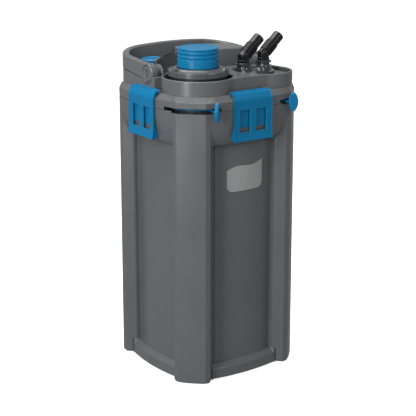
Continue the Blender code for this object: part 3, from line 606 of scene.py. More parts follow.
def make_container():
    rings = []
    for k in range(5):
        angle = quarter(k, 5)
        level = 1.0 + 5.0 * (1.0 - math.cos(angle))
        rings.append(container_ring(level, 0.0, None, 5.0 * (1.0 - math.sin(angle))))
    for z, bevel in ((6.0, 0.0), (20.4, 0.0), (21.0, 0.25), (21.6, 0.9), (27.4, 9.2), (27.9, 9.9),
                     (28.1, 11.0), (28.2, 30.0)):
        rings.append(container_ring(z, bevel))
    for z in (28.6, 90.0, 170.0, 250.0, 330.0, 380.0, 410.0, 415.8, 416.6):
        rings.append(container_ring(z))
    steps = 18
    for k in range(1, steps):
        angle = quarter(k, steps)
        level = COLLAR_LOW + (SEAM - COLLAR_LOW) * (1.0 - math.cos(angle))
        rings.append(container_ring(level, None, math.sin(angle)))
    top = container_ring(SEAM - 0.8, None, 1.0)
    rings += [top, at(offset(top, 0.2), SEAM - 0.3), at(offset(top, 0.8), SEAM)]
    body = skin("container_body", rings)

    tank = bowed(61.0, 98.9, 109.0, 12, 8.0)
    tank = rounded(tank, 0.0, 4)
    mouth = rounded(offset(bowed(*on_diagonal(CORNER, CORNER_HALF), SIDE_MID, 12, 8.0), 5.0), 0.0, 4)
    hollow = [at(offset(tank, 3.0), 6.5), at(offset(tank, 0.9), 7.4), at(tank, 9.5),
              at(tank, TANK_TOP)]
    for k in range(1, 9):
        angle = quarter(k, 8)
        share = math.sin(angle)
        level = TANK_TOP + 34.0 * (1.0 - math.cos(angle))
        hollow.append([(a[0] + (b[0] - a[0]) * share, a[1] + (b[1] - a[1]) * share, level)
                       for a, b in zip(tank, mouth)])
    hollow += [at(mouth, SEAM - 0.7), at(offset(mouth, -0.7), SEAM + 0.05),
               at(offset(mouth, -0.7), SEAM + 9.0)]
    tools = [cut(skin("tool", hollow))]
    pocket = [(118.8, -27.2, 2.0), (141.0, -27.2, 1.0), (146.4, -21.6, 1.0), (146.4, 21.6, 1.0),
              (141.0, 27.2, 1.0), (118.8, 27.2, 2.0)]
    for k in range(4):
        outline = turned(rounded(pocket), 45.0 + 90.0 * k)
        tools.append(cut(skin("tool", [at(outline, z) for z in (-5.0, 60.0)])))
    tools.append(cut(block((-68.0, -200.0, -9.0), (68.0, 200.0, 3.2))))
    tools.append(cut(block((-200.0, -68.0, -9.1), (200.0, 68.0, 3.15))))
    for degrees in LEVER_CORNERS:
        tools.append(cut(block((138.0, -48.0, 476.4), (160.0, 48.0, 489.0), degrees)))
    for k in range(4):
        tools.append(cut(latch_pocket(k)))
        tools.append(cut(block((-34.6, -165.0, 440.2), (34.6, -129.7, 483.0), 90.0 * k)))
        tools.append(add(block((-28.0, -131.1, 437.0), (28.0, -126.0, 441.0), 90.0 * k, 0.6)))
    combine(body, tools)
    for face in body.data.polygons:
        x, y, z = (c / MM for c in face.center)
        along, out = sorted((abs(x), abs(y)))
        on_panel = PLINTH_TOP < z < 416.8 and along < 56.6 and abs(out - panel_out(along)) < 0.5
        face.material_index = 1 if on_panel else 0
    piece(body, "container", [body_grey, panel_grey], ["container"], sharp=36.0)


make_container()


# ---------------------------------------------------------------- handle shape
def bail_rings(grow=0.0, nip=2.4):
    """Sections of the carry handle from the right hub round the back to the left hub."""
    across = HANDLE_OUT - HANDLE_ARM / 2.0
    corner = HANDLE_CORNER - HANDLE_ARM / 2.0
    path = [(across, y) for y in (PIVOT[0], 9.0, 15.0, 22.0)]
    path += [(across, 22.0 + (across - corner - 22.0) * k / 4.0) for k in (1, 2, 3)]
    path += arc((across - corner, across - corner), corner, 0.0, 90.0, 10)
    top = across - corner
    path += [(top * (1.0 - k / 5.0), across) for k in range(1, 5)]
    path += [(0.0, across)]
    path += [(-x, y) for x, y in reversed(path[:-1])]
    rings = []
    for index, (x, y) in enumerate(path):
        before = Vector(path[max(0, index - 1)])
        after = Vector(path[min(len(path) - 1, index + 1)])
        along = (after - before).normalized()
        out = Vector((along.y, -along.x))
        back = (y - PIVOT[0]) / (across - PIVOT[0])
        high = PIVOT[1] + 15.5 + back * (10.0 + 7.0 * (1.0 - (x / across) ** 2)) + grow
        low = PIVOT[1] - 12.5 + 9.5 * min(1.0, back * 1.7) - grow
        half = HANDLE_ARM / 2.0 + grow
        section = rounded([(-half, low), (half, low), (half, high), (-half, high)], nip, 4)
        rings.append([(x + out.x * s, y + out.y * s, z) for s, z in section])
    return rings


def sideways(side):
    """Lays a turned shape on the handle's axis; its height then runs outwards from the middle."""
    place = Matrix.Translation((0.0, PIVOT[0], PIVOT[1]))
    return place @ Matrix.Rotation(side * math.pi / 2.0, 4, "Y")


# ---------------------------------------------------------------- head cover
MOTOR_TOP = 553.0
RIDGE_TOP = 551.0
PRIMER_COLLAR = 525.0
LEDGE_FOOT = 503.0                 # where the deck grows out of the ledge
HUB_BORE = 5.6                     # hole for the handle's pivot caps
SCREWS = ((-94.0, 94.0), (94.0, 94.0), (4.0, -104.0), (108.0, -14.0))


def deck_outline():
    """The raised front of the head: both turrets and the wall between them."""
    wall = -112.0
    sweep = 28.0
    middle = TURRET[0] - math.sqrt((47.0 + sweep) ** 2 - (wall - sweep - TURRET[1]) ** 2)
    meet = math.degrees(math.atan2(TURRET[1] - wall + sweep, TURRET[0] - middle))
    outline = arc(FILTER, 62.0, 112.0, 299.4, 44)
    outline += arc((middle, wall - sweep), sweep, 90.0, meet, 6)
    outline += arc(TURRET, 47.0, meet + 180.0, 360.0, 26)[1:]
    outline += rounded([TURRET, (119.0, -34.0, 6.0), (111.0, -24.0, 8.0), (96.0, -20.0, 12.0),
                        (72.0, -12.0, 18.0), (40.0, -14.0, 18.0), (20.0, -2.0, 14.0),
                        (0.0, 6.0, 14.0), (-30.0, 10.0, 10.0), (-60.0, 12.0, 5.0), (-80.0, 0.0)],
                       0.0, 4, closed=False)[1:-1]
    return outline


def tray_outline():
    out = HANDLE_OUT - 0.3
    edge = out - HANDLE_CORNER
    return ([(-out, -20.0), (out, -20.0)] + arc((edge, edge), HANDLE_CORNER, 0.0, 90.0, 16)
            + arc((-edge, edge), HANDLE_CORNER, 90.0, 180.0, 16))


def motor_outline(inset=0.0):
    out = HANDLE_OUT - HANDLE_ARM - 2.0
    radius = HANDLE_CORNER - HANDLE_ARM
    outline = [(4.0, 100.0, 3.2), (52.0, 38.0, 16.0), (92.0, 27.0, 12.0), (out, 27.0, 4.0)]
    outline += arc((out - radius, out - radius), radius, 0.0, 90.0, 12) + [(2.0, out, 3.2)]
    return rounded(offset(outline, inset), 0.0, 5)


def opening(centre, radius, top, flare, steps=96):
    """A round bore whose mouth is rounded over."""
    profile = [(0.0, 488.0), (radius, 488.0), (radius, top - flare)]
    for k in range(1, 6):
        angle = quarter(k, 5)
        level = top - flare * (1.0 - math.sin(angle))
        profile.append((radius + flare * (1.0 - math.cos(angle)), level))
    profile += [(radius + flare, top + 30.0), (0.0, top + 30.0)]
    return lathe("tool", profile, centre, steps)


def ridge_outline():
    return rounded([(-98.0, 14.0, 1.5), (-96.0, 10.0, 1.5), (-48.0, 46.0, 20.0), (-20.0, 58.0, 1.5),
                    (-22.0, 62.0, 1.5), (-50.0, 50.0, 24.0)], 0.0, 5)


def make_head_cover():
    outer = rim()
    ledge = rounded(bowed(*on_diagonal(145.5, 27.0), 121.2, corner=2.5))
    cover = skin("head_cover_shell", [
        at(offset(outer, 0.9), 479.3), at(offset(outer, 0.25), 479.6), at(outer, 480.3), at(outer, 494.4),
        at(offset(outer, 0.12), 495.0), at(offset(outer, 0.5), 495.5), at(offset(ledge, -0.7), 503.2),
        at(offset(ledge, 0.0), 503.7), at(offset(ledge, 1.2), 504.0)])
    inner = rim(3.0)
    tools = [cut(skin("tool", [at(inner, 470.0), at(inner, 494.0), at(offset(ledge, 2.0), 501.0)]))]
    deck = deck_outline()
    tools.append(add(lip(deck, LEDGE_FOOT, DECK, 1.6, 5)))
    tray = tray_outline()
    tools.append(add(lip(tray, 502.8, 526.0, 1.4, 4)))
    hollow = [(-113.8, 5.5), (113.8, 5.5)] + offset(tray, 5.2)[2:]
    tools.append(cut(lip(hollow, TRAY_FLOOR + 1.0, 560.0, 0.0, foot=2.0)))
    collar = [(0.0, TRAY_FLOOR), (26.0, TRAY_FLOOR), (26.0, PRIMER_COLLAR - 1.2),
              (24.8, PRIMER_COLLAR), (0.0, PRIMER_COLLAR)]
    tools.append(add(lathe("tool", collar, PRIMER)))
    tools.append(add(lip(motor_outline(), TRAY_FLOOR, MOTOR_TOP, 2.6, 5)))
    tools.append(add(lip(ridge_outline(), TRAY_FLOOR, RIDGE_TOP, 1.9, 5)))
    tools.append(cut(lip(offset(deck, 3.0), 480.0, DECK - 3.2, 0.0)))
    tools.append(cut(lip(offset(tray, 4.0), 480.1, 508.8, 0.0)))
    tools.append(cut(lip(motor_outline(4.0), 480.2, 549.8, 0.0)))
    tools.append(cut(opening(FILTER, 58.0, DECK, 1.3)))
    tools.append(cut(opening(TURRET, 43.0, DECK, 1.4)))
    tools.append(cut(opening(HOSE, 36.7, DECK, 0.6)))
    tools.append(cut(opening(PRIMER, 22.4, PRIMER_COLLAR, 1.0, 64)))
    tools.append(cut(skin("tool", bail_rings(0.6, 2.6))))
    room = arc(PIVOT, 17.8, 180.0, 360.0, 24)
    room += [(PIVOT[0] + 17.9, 580.0), (PIVOT[0] - 17.9, 580.0)]
    for side in (-1.0, 1.0):
        ends = (side * 94.7, side * 128.0)
        tools.append(cut(skin("tool", [[(x, y, z) for y, z in room] for x in ends])))
    for side in (-1.0, 1.0):
        low, high = sorted((side * 96.3, side * 107.3))
        foot = block((low, PIVOT[0] - 8.7, 510.2), (high, PIVOT[0] + 8.9, 526.3))
        post = [(0.0, 95.2), (12.0, 95.2), (13.9, 96.1), (13.9, 97.7), (12.4, 98.8), (12.4, 106.6),
                (13.4, 107.4), (13.4, 108.2), (0.0, 108.2)]
        bore = lathe("tool", rod(HUB_BORE, 98.4, 121.0), steps=24, place=sideways(side))
        boss = lathe("tool", post, steps=48, round_by=0.4, place=sideways(side))
        tools.append(add(combine(boss, [add(foot), cut(bore)])))
    for degrees in LEVER_CORNERS:
        tools.append(cut(block((130.0, -48.0, 470.0), (160.0, 48.0, 485.5), degrees)))
    for index in range(4):
        tools.append(cut(latch_pocket(index)))
        for side in (-1.0, 1.0):
            low, high = sorted((side * 38.9, side * 41.5))
            tools.append(add(block((low, -124.0, 501.0), (high, -119.5, 508.1), 90.0 * index, 0.8)))
        pin = along_pin(side_turn(index))
        tools.append(cut(lathe("tool", rod(PIN_BORE, -60.0, 60.0), steps=16, place=pin)))
    for x, y in SCREWS:
        top = DECK - 2.0 if y < -50.0 else TRAY_FLOOR
        tools.append(add(lathe("tool", rod(4.2, 471.3, top), (x, y), 20)))
        tools.append(cut(lathe("tool", rod(1.7, 460.0, 493.0), (x, y), 16)))
    inlet = Matrix.Translation((49.0, 120.0, 515.5)) @ Matrix.Rotation(math.pi / 2.0, 4, "X")
    tools.append(cut(lathe("tool", rod(4.5, -20.0, 20.0), steps=24, place=inlet)))
    combine(cover, tools)
    piece(cover, "head", head_grey, ["head_cover"], sharp=32.0)


make_head_cover()


# ---------------------------------------------------------------- handle
def make_handle():
    handle = skin("carry_handle_bail", bail_rings())
    tools = []
    for side in (-1.0, 1.0):
        hub = lathe("tool", [(0.0, 108.7), (16.2, 108.7), (17.0, 109.5), (17.0, 120.0), (15.8, 121.3),
                             (0.0, 121.3)], round_by=0.6, place=sideways(side))
        well = lathe("tool", [(0.0, 115.0), (14.0, 115.0), (14.0, 120.6), (14.9, 121.6), (14.9, 128.0),
                              (0.0, 128.0)], place=sideways(side))
        eye = lathe("tool", rod(HUB_BORE, 100.0, 130.0), steps=24, place=sideways(side))
        tools += [add(hub), cut(well), cut(eye)]
    combine(handle, tools)
    piece(handle, "handle", head_grey, ["carry_handle"], sharp=35.0)


def make_caps():
    for side, label in ((-1.0, "left"), (1.0, "right")):
        profile = [(0.0, 100.0), (4.6, 100.0), (5.2, 100.8), (5.2, 115.3), (13.7, 115.3), (13.7, 119.6),
                   (12.9, 120.6), (11.0, 121.0), (9.4, 120.9), (8.8, 120.5), (0.0, 120.3)]
        cap = lathe(f"pivot_cap_{label}_face", profile, round_by=0.35, place=sideways(side))
        dimple = [(0.0, -3.6), (1.9, -3.6), (1.9, -0.7), (2.5, 0.2), (2.5, 3.0), (0.0, 3.0)]
        face = side * HANDLE_OUT
        tools = []
        for k in (-1.0, 1.0):
            hole = Matrix.Translation((face, PIVOT[0] + 0.4 * k, PIVOT[1] + 4.0 * k))
            hole = hole @ Matrix.Rotation(math.pi / 2.0, 4, "Y")
            tools.append(cut(lathe("tool", dimple, steps=24, place=hole)))
        tools.append(cut(block((face - 3.0, PIVOT[0] - 0.8, PIVOT[1] - 3.5),
                               (face + 3.0, PIVOT[0] + 0.8, PIVOT[1] + 3.5))))
        combine(cap, tools)
        piece(cap, "handle", head_grey, [f"pivot_cap_{label}"], sharp=30.0)


make_handle()
make_caps()


# ---------------------------------------------------------------- prefilter column
def make_plug():
    ribs = []
    for z in (573.4, 566.6, 559.8):
        ribs += [(35.0, z + 1.9), (33.5, z + 0.35), (33.5, z - 0.35), (35.0, z - 1.9)]
    profile = [(0.0, 576.2), (29.0, 576.2), (31.2, 576.9), (33.0, 577.0), (34.6, 576.3)] + ribs
    profile += [(35.0, 545.0), (34.4, 544.3), (32.0, 544.3), (32.0, 512.0), (29.5, 512.0), (29.5, 508.0),
                (32.0, 508.0), (32.0, 505.0), (31.0, 504.0), (0.0, 504.0)]
    plug = lathe("heater_plug_body", profile, FILTER, 112, round_by=0.6)
    piece(plug, "plug", blue, ["heater_blank_plug"], sharp=50.0)


def make_lock_ring():
    profile = [(35.6, 530.2), (50.0, 530.2), (50.9, 531.0), (51.0, 538.6), (50.2, 540.2),
               (48.6, 540.9), (44.8, 541.1), (42.8, 542.4), (41.2, 543.7), (39.8, 544.0),
               (36.2, 544.0), (35.6, 543.4)]
    ring = lathe("lock_ring_body", profile, FILTER, 144, round_by=0.5, closed=True)
    tools = []
    for k in range(12):
        turn = facing(FILTER, 30.0 * k + 11.0)
        tools.append(cut(block((50.3, -0.45, 528.0), (56.0, 0.45, 543.0), place=turn)))
    for degrees in (61.0, 181.0, 301.0):
        turn = facing(FILTER, degrees)
        tools.append(add(block((43.4, -4.6, 538.0), (50.6, 4.6, 544.6), bevel=1.1, place=turn)))
    combine(ring, tools)
    piece(ring, "ring", ring_grey, ["lock_ring"], sharp=32.0)


make_plug()
make_lock_ring()


# ---------------------------------------------------------------- hose connections
PORTS = {"left": (34.5, -60.0), "right": (80.5, -55.5)}
PORT_TOP = 543.0
PORT_BORE = 7.0
ELBOW_LEAN = 48.0


def make_adapter():
    """A plate with two flared ports, over a wider flange that fills the turret."""
    body = [(0.0, 528.2), (34.2, 528.2), (35.2, 528.0), (36.0, 527.0), (36.0, 521.5), (32.5, 520.5),
            (32.5, 512.0), (30.0, 512.0), (30.0, 509.0), (32.5, 509.0), (32.5, 496.0), (31.5, 495.0),
            (0.0, 495.0)]
    adapter = lathe("hose_adapter_body", body, HOSE, 112)
    flange = [(0.0, 521.7), (41.0, 521.7), (41.0, 523.4), (40.4, 524.0), (0.0, 524.0)]
    tools = [add(lathe("tool", flange, TURRET, 96))]
    for centre in PORTS.values():
        foot, throat, low, high = 21.5, 11.2, 526.6, 537.5
        flare = [(0.0, 523.0), (foot, 523.0)]
        for k in range(9):
            angle = quarter(k, 8)
            level = low + (high - low) * (1.0 - math.cos(angle))
            flare.append((foot - (foot - throat) * math.sin(angle), level))
        flare += [(11.9, 538.4), (11.9, 541.4), (11.3, 542.2), (11.3, PORT_TOP), (0.0, PORT_TOP)]
        shape = lathe("tool", flare, centre)
        well = lathe("tool", rod(35.9, 522.0, 550.0), HOSE, 112)
        tools.append(add(combine(shape, [("INTERSECT", well)])))
    for centre in PORTS.values():
        for degrees in (145.0, 325.0):
            turn = facing(centre, degrees)
            tools.append(add(block((10.6, -1.7, 538.6), (14.2, 1.7, 542.0), bevel=0.9, place=turn)))
        tools.append(cut(lathe("tool", rod(PORT_BORE, 480.0, 600.0), centre, 32)))
    combine(adapter, tools)
    piece(adapter, "hose_block", adapter_black, ["hose_adapter"], sharp=32.0)


def make_elbow(label, centre):
    base = PORT_TOP + 0.3
    bend = base + 12.5
    stub = [(0.0, base), (10.2, base), (10.7, base + 0.6), (10.7, base + 3.2), (9.9, base + 3.8),
            (9.9, base + 7.4), (10.4, base + 8.0), (10.4, bend - 0.5)]
    for k in range(1, 9):
        angle = quarter(k, 8)
        stub.append((10.4 * math.cos(angle), bend - 0.5 + 6.2 * math.sin(angle)))
    elbow = lathe(f"elbow_{label}_body", stub, centre, round_by=0.3)
    tail = [(0.0, -1.0), (9.6, -1.0), (10.2, 0.0), (10.2, 4.0)]
    for k in range(5):
        start = 5.2 + 3.9 * k
        tail += [(9.9, start), (11.2, start + 0.7), (11.2, start + 2.3), (9.9, start + 3.1)]
    tail += [(10.9, 25.0), (10.9, 26.0), (9.7, 27.4), (9.7, 44.2), (9.2, 45.5), (8.4, 46.0), (0.0, 46.0)]
    lean = Matrix.Translation((*centre, bend - 3.0))
    lean = lean @ Matrix.Rotation(math.radians(ELBOW_LEAN), 4, "Y")
    tools = [add(lathe("tool", tail, round_by=0.35, place=lean))]
    bore = [(0.0, -3.0), (PORT_BORE, -3.0), (PORT_BORE, 45.0), (7.9, 46.1), (7.9, 60.0), (0.0, 60.0)]
    tools.append(cut(lathe("tool", bore, steps=32, place=lean)))
    tools.append(cut(lathe("tool", rod(6.7, 500.0, bend - 1.3), centre, 32)))
    combine(elbow, tools)
    piece(elbow, f"{label}_elbow", gloss_black, [f"elbow_{label}"], sharp=35.0)


make_adapter()
for port, place in PORTS.items():
    make_elbow(port, place)


# ---------------------------------------------------------------- latches and levers
LATCH_HALF = 38.5
LATCH_OUTER = [(-121.6, 507.0, 1.0), (-125.2, 506.5, 1.5), (-130.6, 505.4, 1.2), (-134.4, 496.9, 1.6),
               (-135.2, 493.6, 2.2), (-135.2, 446.0, 8.0), (-135.4, 441.0, 8.0), (-135.9, 435.0, 8.0),
               (-137.4, 425.8, 0.8)]
LATCH_INNER = [(-135.4, 425.2, 0.8), (-133.9, 435.0, 6.0), (-133.4, 441.4, 6.0), (-133.2, 446.0, 6.0),
               (-133.2, 493.0, 1.0), (-132.4, 496.6, 3.0), (-129.6, 503.2, 1.5), (-125.0, 504.3, 1.0),
               (-121.6, 504.3, 0.5)]
LATCH_FIN = [(-134.4, 447.0), (-130.3, 447.0), (-128.8, 440.0), (-125.2, 430.8), (-126.4, 428.6),
             (-135.6, 427.0), (-134.7, 434.0), (-134.4, 441.0)]
LATCH_WINDOWS = ((-27.0, -6.5), (6.5, 27.0))
HOOK = [(-129.95, 478.3), (-129.95, 448.0), (-130.5, 448.0), (-130.8, 448.4), (-130.8, 478.3)]
BARREL = 1.95                      # radius of the knuckle round the pin
LEVER_REACH = 82.2


def latch_section():
    return rounded(LATCH_OUTER + LATCH_INNER)


def latch_plate(inset):
    """The bent plate's section, thinned by inset for its rounded side edges."""
    return [(p[0], p[1]) for p in offset(latch_section()[::-1], inset)][::-1]


def make_latch(label, index):
    turn = side_turn(index)
    rings = []
    for x, inset in ((-LATCH_HALF, 0.8), (0.25 - LATCH_HALF, 0.3), (0.8 - LATCH_HALF, 0.0),
                     (LATCH_HALF - 0.8, 0.0), (LATCH_HALF - 0.25, 0.3), (LATCH_HALF, 0.8)):
        rings.append([(x, y, z) for y, z in latch_plate(inset)])
    latch = skin(f"latch_{label}_plate", rings, place=turn)
    pin = along_pin(turn)
    tools = [add(lathe("tool", rod(BARREL, -38.0, 38.0), steps=24, place=pin))]
    for side in (-1.0, 1.0):
        ends = sorted((side * 38.2, side * 36.4))
        fin = [[(x, y, z) for y, z in LATCH_FIN] for x in ends]
        tools.append(add(skin("tool", fin, place=turn)))
    for low, high in LATCH_WINDOWS:
        window = rounded([(low, 440.5), (high, 440.5), (high, 477.5), (low, 477.5)], 1.3, 4)
        rows = []
        for y, grow in ((-128.0, 0.0), (-134.3, 0.0), (-134.9, 0.35), (-135.4, 1.1), (-146.0, 1.1)):
            rows.append([(x, y, z) for x, z in offset(window, -grow)])
        tools.append(cut(skin("tool", rows, place=turn)))
    tools.append(cut(lathe("tool", rod(PIN_BORE, -60.0, 60.0), steps=16, place=pin)))
    combine(latch, tools)
    body = f"latch_{label}_body"
    piece(latch, body, blue, [f"latch_{label}"], sharp=38.0)

    outline = rounded(HOOK, 0.1, 2)
    hook = skin(f"latch_{label}_hook", [[(x, y, z) for y, z in outline] for x in (-33.0, 33.0)],
                place=turn)
    tools = [add(block((-34.0, -132.9, 432.0), (-28.6, -130.0, 450.0), 90.0 * index, 0.2)),
             add(block((28.6, -132.9, 432.0), (34.0, -130.0, 450.0), 90.0 * index, 0.2))]
    combine(hook, tools)
    piece(hook, body, blue, [f"latch_hook_{label}"], sharp=38.0)


def make_lever(name, centre, well, reach, arm_angle, head_angle, body):
    """A ring round a well, a flat arm out through the rim slot and an upright finger grip."""
    low, high = 478.9, 483.1
    ring = [(well + 0.6, low), (well + 5.6, low), (well + 5.6, high), (well + 0.6, high)]
    lever = lathe(f"{name}_grip", ring, centre, 96, round_by=0.5, closed=True)
    turn = facing(centre, arm_angle)
    arm = block((well + 3.0, -3.5, low + 0.2), (reach - 1.0, 3.5, high - 0.2), bevel=0.5, place=turn)
    tools = [add(arm)]
    place = turn @ Matrix.Translation((reach, 0.0, 481.0))
    place = place @ Matrix.Rotation(math.radians(head_angle - arm_angle), 4, "Z")
    outline = [(7.8 * math.cos(a) * (1.0 + 0.06 * math.cos(2.0 * a) ** 2), 16.2 * math.sin(a))
               for a in (2.0 * math.pi * k / 48 for k in range(48))]
    rings = []
    for out, scale in ((-3.4, 0.80), (-3.0, 0.90), (-2.2, 0.98), (-1.2, 1.0), (1.0, 1.0),
                       (2.1, 0.97), (2.9, 0.90), (3.4, 0.80)):
        rings.append([(out, y * scale, z * (1.0 - (1.0 - scale) * 0.5)) for y, z in outline])
    tools.append(add(skin("tool", rings, place=place)))
    groove = [(0.0, -13.0), (0.45, -12.0), (0.75, -9.0), (0.75, 9.0), (0.45, 12.0), (0.0, 13.0)]
    for y in (-3.0, 0.0, 3.0):
        spot = place @ Matrix.Translation((3.55, y, 0.0))
        tools.append(cut(lathe("tool", groove, steps=12, place=spot)))
    combine(lever, tools)
    piece(lever, body, blue, [name], sharp=35.0)


for number, side_name in enumerate(("front", "right", "back", "left")):
    make_latch(side_name, number)
make_lever("prefilter_lever", FILTER, 47.0, LEVER_REACH, 257.4, 312.4, "prefilter_lever_body")
make_lever("hose_lever", HOSE, 36.0, LEVER_REACH, 288.6, 230.6, "hose_lever_body")


# ---------------------------------------------------------------- badge, primer and its spring
def make_badge():
    """A blank plate on the front panel, with a wavy top edge and rounded lower corners."""
    left, right, steps = -36.0, 38.0, 48
    rings = []
    for i in range(steps + 1):
        share = 0.5 - 0.5 * math.cos(math.pi * i / steps)
        x = left + (right - left) * share
        wall = panel_out(x) + 0.15
        edge = min(share, 1.0 - share) * (right - left)
        rounding = 11.0 - math.sqrt(max(0.0, 11.0 ** 2 - max(0.0, 11.0 - edge) ** 2))
        low = 334.0 + rounding
        high = 372.0 + 12.0 * share + 3.0 * math.sin(2.0 * math.pi * share)
        top = max(0.0, 1.2 - edge)
        high -= 1.2 - math.sqrt(max(0.0, 1.2 ** 2 - top ** 2))
        thick = 0.9 if 0 < i < steps else 0.5
        face = -wall - thick
        rings.append([(x, -wall, low), (x, -wall, high), (x, face + 0.3, high), (x, face, high - 0.35),
                      (x, face, low + 0.35), (x, face + 0.3, low)])
    badge = skin("name_badge_plate", rings)
    piece(badge, "container", badge_grey, ["name_badge"], sharp=35.0)


def make_primer():
    profile = [(0.0, 541.9), (15.0, 542.0), (16.4, 542.9), (19.2, 543.0), (22.0, 541.2), (22.0, 516.5),
               (19.0, 516.5), (19.0, 540.0), (0.0, 540.0)]
    primer = lathe("primer_button_top", profile, PRIMER, 80, round_by=0.8)
    piece(primer, "primer", blue, ["primer_button"], sharp=45.0)


def make_spring():
    """The return spring under the button, a wire coil of fixed length."""
    base, top, turns, wire, radius, around = 472.6, 538.5, 9, 1.2, 13.5, 20
    rings = []
    for i in range(turns * around + 1):
        angle = 2.0 * math.pi * i / around
        height = base + (top - base) * i / (turns * around)
        out = Vector((math.cos(angle), math.sin(angle), 0.0))
        hub = Vector((PRIMER[0], PRIMER[1], height)) + out * radius
        rings.append([hub + out * wire * math.cos(t) + Vector((0.0, 0.0, wire * math.sin(t)))
                      for t in [2.0 * math.pi * k / 8 for k in range(8)]])
    spring = skin("primer_spring_coil", rings)
    piece(spring, "head", steel, ["primer_spring"], sharp=60.0)
    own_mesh(spring)


make_badge()
make_primer()
make_spring()


# ---------------------------------------------------------------- filter foams and baskets
def soft_block(name, outline, low, high, body, node, seed, centre=None, bore=0.0):
    """A foam pad with softly rounded, slightly uneven faces."""
    rings = []
    levels = [(low, 1.6), (low + 0.6, 0.5), (low + 1.8, 0.0)]
    levels += [(low + 1.8 + (high - low - 3.6) * k / 8, 0.0) for k in range(1, 9)]
    levels += [(high - 0.6, 0.5), (high, 1.6)]
    for z, inset in levels:
        ring = []
        for k, (x, y) in enumerate(p[:2] for p in offset(outline, inset)):
            wave = 0.35 * math.sin(0.23 * z + 1.7 * k + seed) * math.sin(0.11 * z - 0.9 * k + 2.0 * seed)
            middle = Vector(centre or (0.0, 0.0))
            away = Vector((x, y)) - middle
            ring.append((*(middle + away * (1.0 - (0.35 + wave) / max(away.length, 1.0))), z))
        rings.append(ring)
    foam_piece = skin(name, rings)
    if bore:
        combine(foam_piece, [cut(lathe("tool", rod(bore, low - 9.0, high + 9.0), centre, 48))])
    piece(foam_piece, body, blue_foam, [node], sharp=60.0)


def pad_outline(inset):
    """The tank's shape less the prefilter's column, for the pads in the four baskets."""
    full = bowed(60.0, 98.0, 106.5, 12)
    outline = [(-105.36, -22.0)] + arc(FILTER, 36.0, 90.0, 0.0, 12) + [(-22.0, -105.36)]
    outline += [p for p in full[:13] if p[0] > -20.0] + full[13:39]
    outline += [p for p in full[39:52] if p[1] > -20.0]
    return offset(outline, inset)


COLUMN_FOOT = 36.3
SLEEVES = 3
BASKET_PITCH = 99.0

for sleeve in range(SLEEVES):
    length = (476.0 - COLUMN_FOOT) / SLEEVES
    soft_block(f"prefilter_sleeve_{sleeve + 1}", arc(FILTER, 28.5, 0.0, 352.5, 47),
               COLUMN_FOOT + length * sleeve, 36.0 + length * (sleeve + 1), "prefilter",
               f"prefilter_foam_{sleeve + 1}", sleeve, FILTER, 15.5)

for layer in range(4):
    shelf = 12.0 + BASKET_PITCH * layer
    soft_block(f"filter_pad_{layer + 1}", pad_outline(3.2), shelf + 4.3, shelf + 75.0, "container",
               f"media_{layer + 1}", 5 + layer)


# ---------------------------------------------------------------- stage
# CAD nodes that no piece replaces get this script's materials
SLOTS = {row["node"]: row["material_slot"] for row in frame["record"]["subparts"]}
for node_name, node in NODES.items():
    if not node.hide_render:
        node.data.materials.clear()
        node.data.materials.append(MATERIALS[SLOTS[node_name]])


WHITE = (1.0, 1.0, 1.0, 1.0)
SKY = 0.34
FLOOR_GLOW = 0.80
FLOOR_HALF = 30
CAMERA_DISTANCE = 2.1294
CAMERA_AZIMUTH = -35.065
CAMERA_ELEVATION = 16.026
SENSOR = 36.0
FOCAL_SHARE = 1188.8 / 416.0       # focal length over the picture's width


def area_light(name, place, target, size, power):
    data = bpy.data.lights.new(name, "AREA")
    data.shape = "RECTANGLE"
    data.size, data.size_y = size
    data.energy = power
    light = bpy.data.objects.new(name, data)
    bpy.context.scene.collection.objects.link(light)
    light.location = place
    light.rotation_mode = "QUATERNION"
    light.rotation_quaternion = (Vector(target) - Vector(place)).to_track_quat("-Z", "Y")


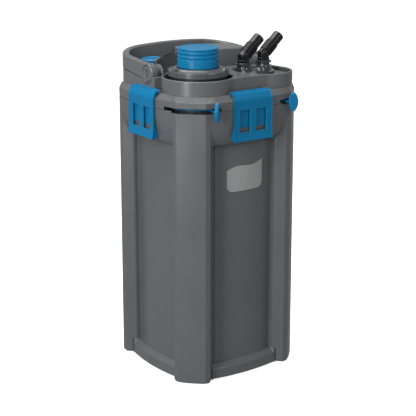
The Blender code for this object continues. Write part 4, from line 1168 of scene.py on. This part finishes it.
def make_stage():
    """World, floor, lights and the camera that was fitted to the photo."""
    scene = bpy.context.scene
    scene.view_settings.view_transform = "Standard"
    world = bpy.data.worlds.new("studio")
    scene.world = world
    world.use_nodes = True
    sky = world.node_tree.nodes["Background"]
    preset(sky, {"Color": WHITE, "Strength": SKY})
    mesh = bpy.data.meshes.new("floor")
    corners = [(-FLOOR_HALF, -FLOOR_HALF, 0), (FLOOR_HALF, -FLOOR_HALF, 0), (FLOOR_HALF, FLOOR_HALF, 0),
               (-FLOOR_HALF, FLOOR_HALF, 0)]
    mesh.from_pydata(corners, [], [(0, 1, 2, 3)])
    floor = bpy.data.objects.new("floor", mesh)
    scene.collection.objects.link(floor)
    mat, tree, shader, place = shader_tree("pale_floor")
    cloudy = noise(tree, place, 3.0)
    pale = blended(tree, cloudy, (0.84, 0.84, 0.84), (0.86, 0.86, 0.86))
    tree.links.new(pale, shader.inputs["Base Color"])
    preset(shader, {"Roughness": 0.9, "Specular IOR Level": 0.1, "Emission Color": WHITE,
                    "Emission Strength": FLOOR_GLOW})
    mesh.materials.append(mat)
    floor.visible_diffuse = False
    floor.visible_glossy = False
    area_light("key", (-2.1, -0.75, 1.05), (0.0, 0.0, 0.30), (0.6, 2.0), 44.0)
    area_light("top", (-0.3, 0.3, 2.2), (0.0, 0.0, 0.4), (1.6, 1.6), 42.0)
    area_light("fill", (0.7, -2.0, 1.7), (0.0, 0.0, 0.5), (0.7, 0.9), 9.0)
    area_light("strip", (-1.15, -1.5, 1.15), (0.05, -0.05, 0.5), (0.16, 1.4), 7.0)

    camera_data = bpy.data.cameras.new("camera")
    camera = bpy.data.objects.new("camera", camera_data)
    scene.collection.objects.link(camera)
    camera_data.sensor_width = SENSOR
    camera_data.lens = FOCAL_SHARE * SENSOR
    camera_data.shift_x = 0.0031
    camera_data.shift_y = -0.0058
    azimuth, elevation = math.radians(CAMERA_AZIMUTH), math.radians(CAMERA_ELEVATION)
    back = Vector((math.sin(azimuth) * math.cos(elevation), -math.cos(azimuth) * math.cos(elevation),
                   math.sin(elevation)))
    camera.location = Vector((0.0, 0.0, 0.280)) + back * CAMERA_DISTANCE
    camera.rotation_mode = "QUATERNION"
    camera.rotation_quaternion = (-back).to_track_quat("-Z", "Y")
    scene.camera = camera


make_stage()
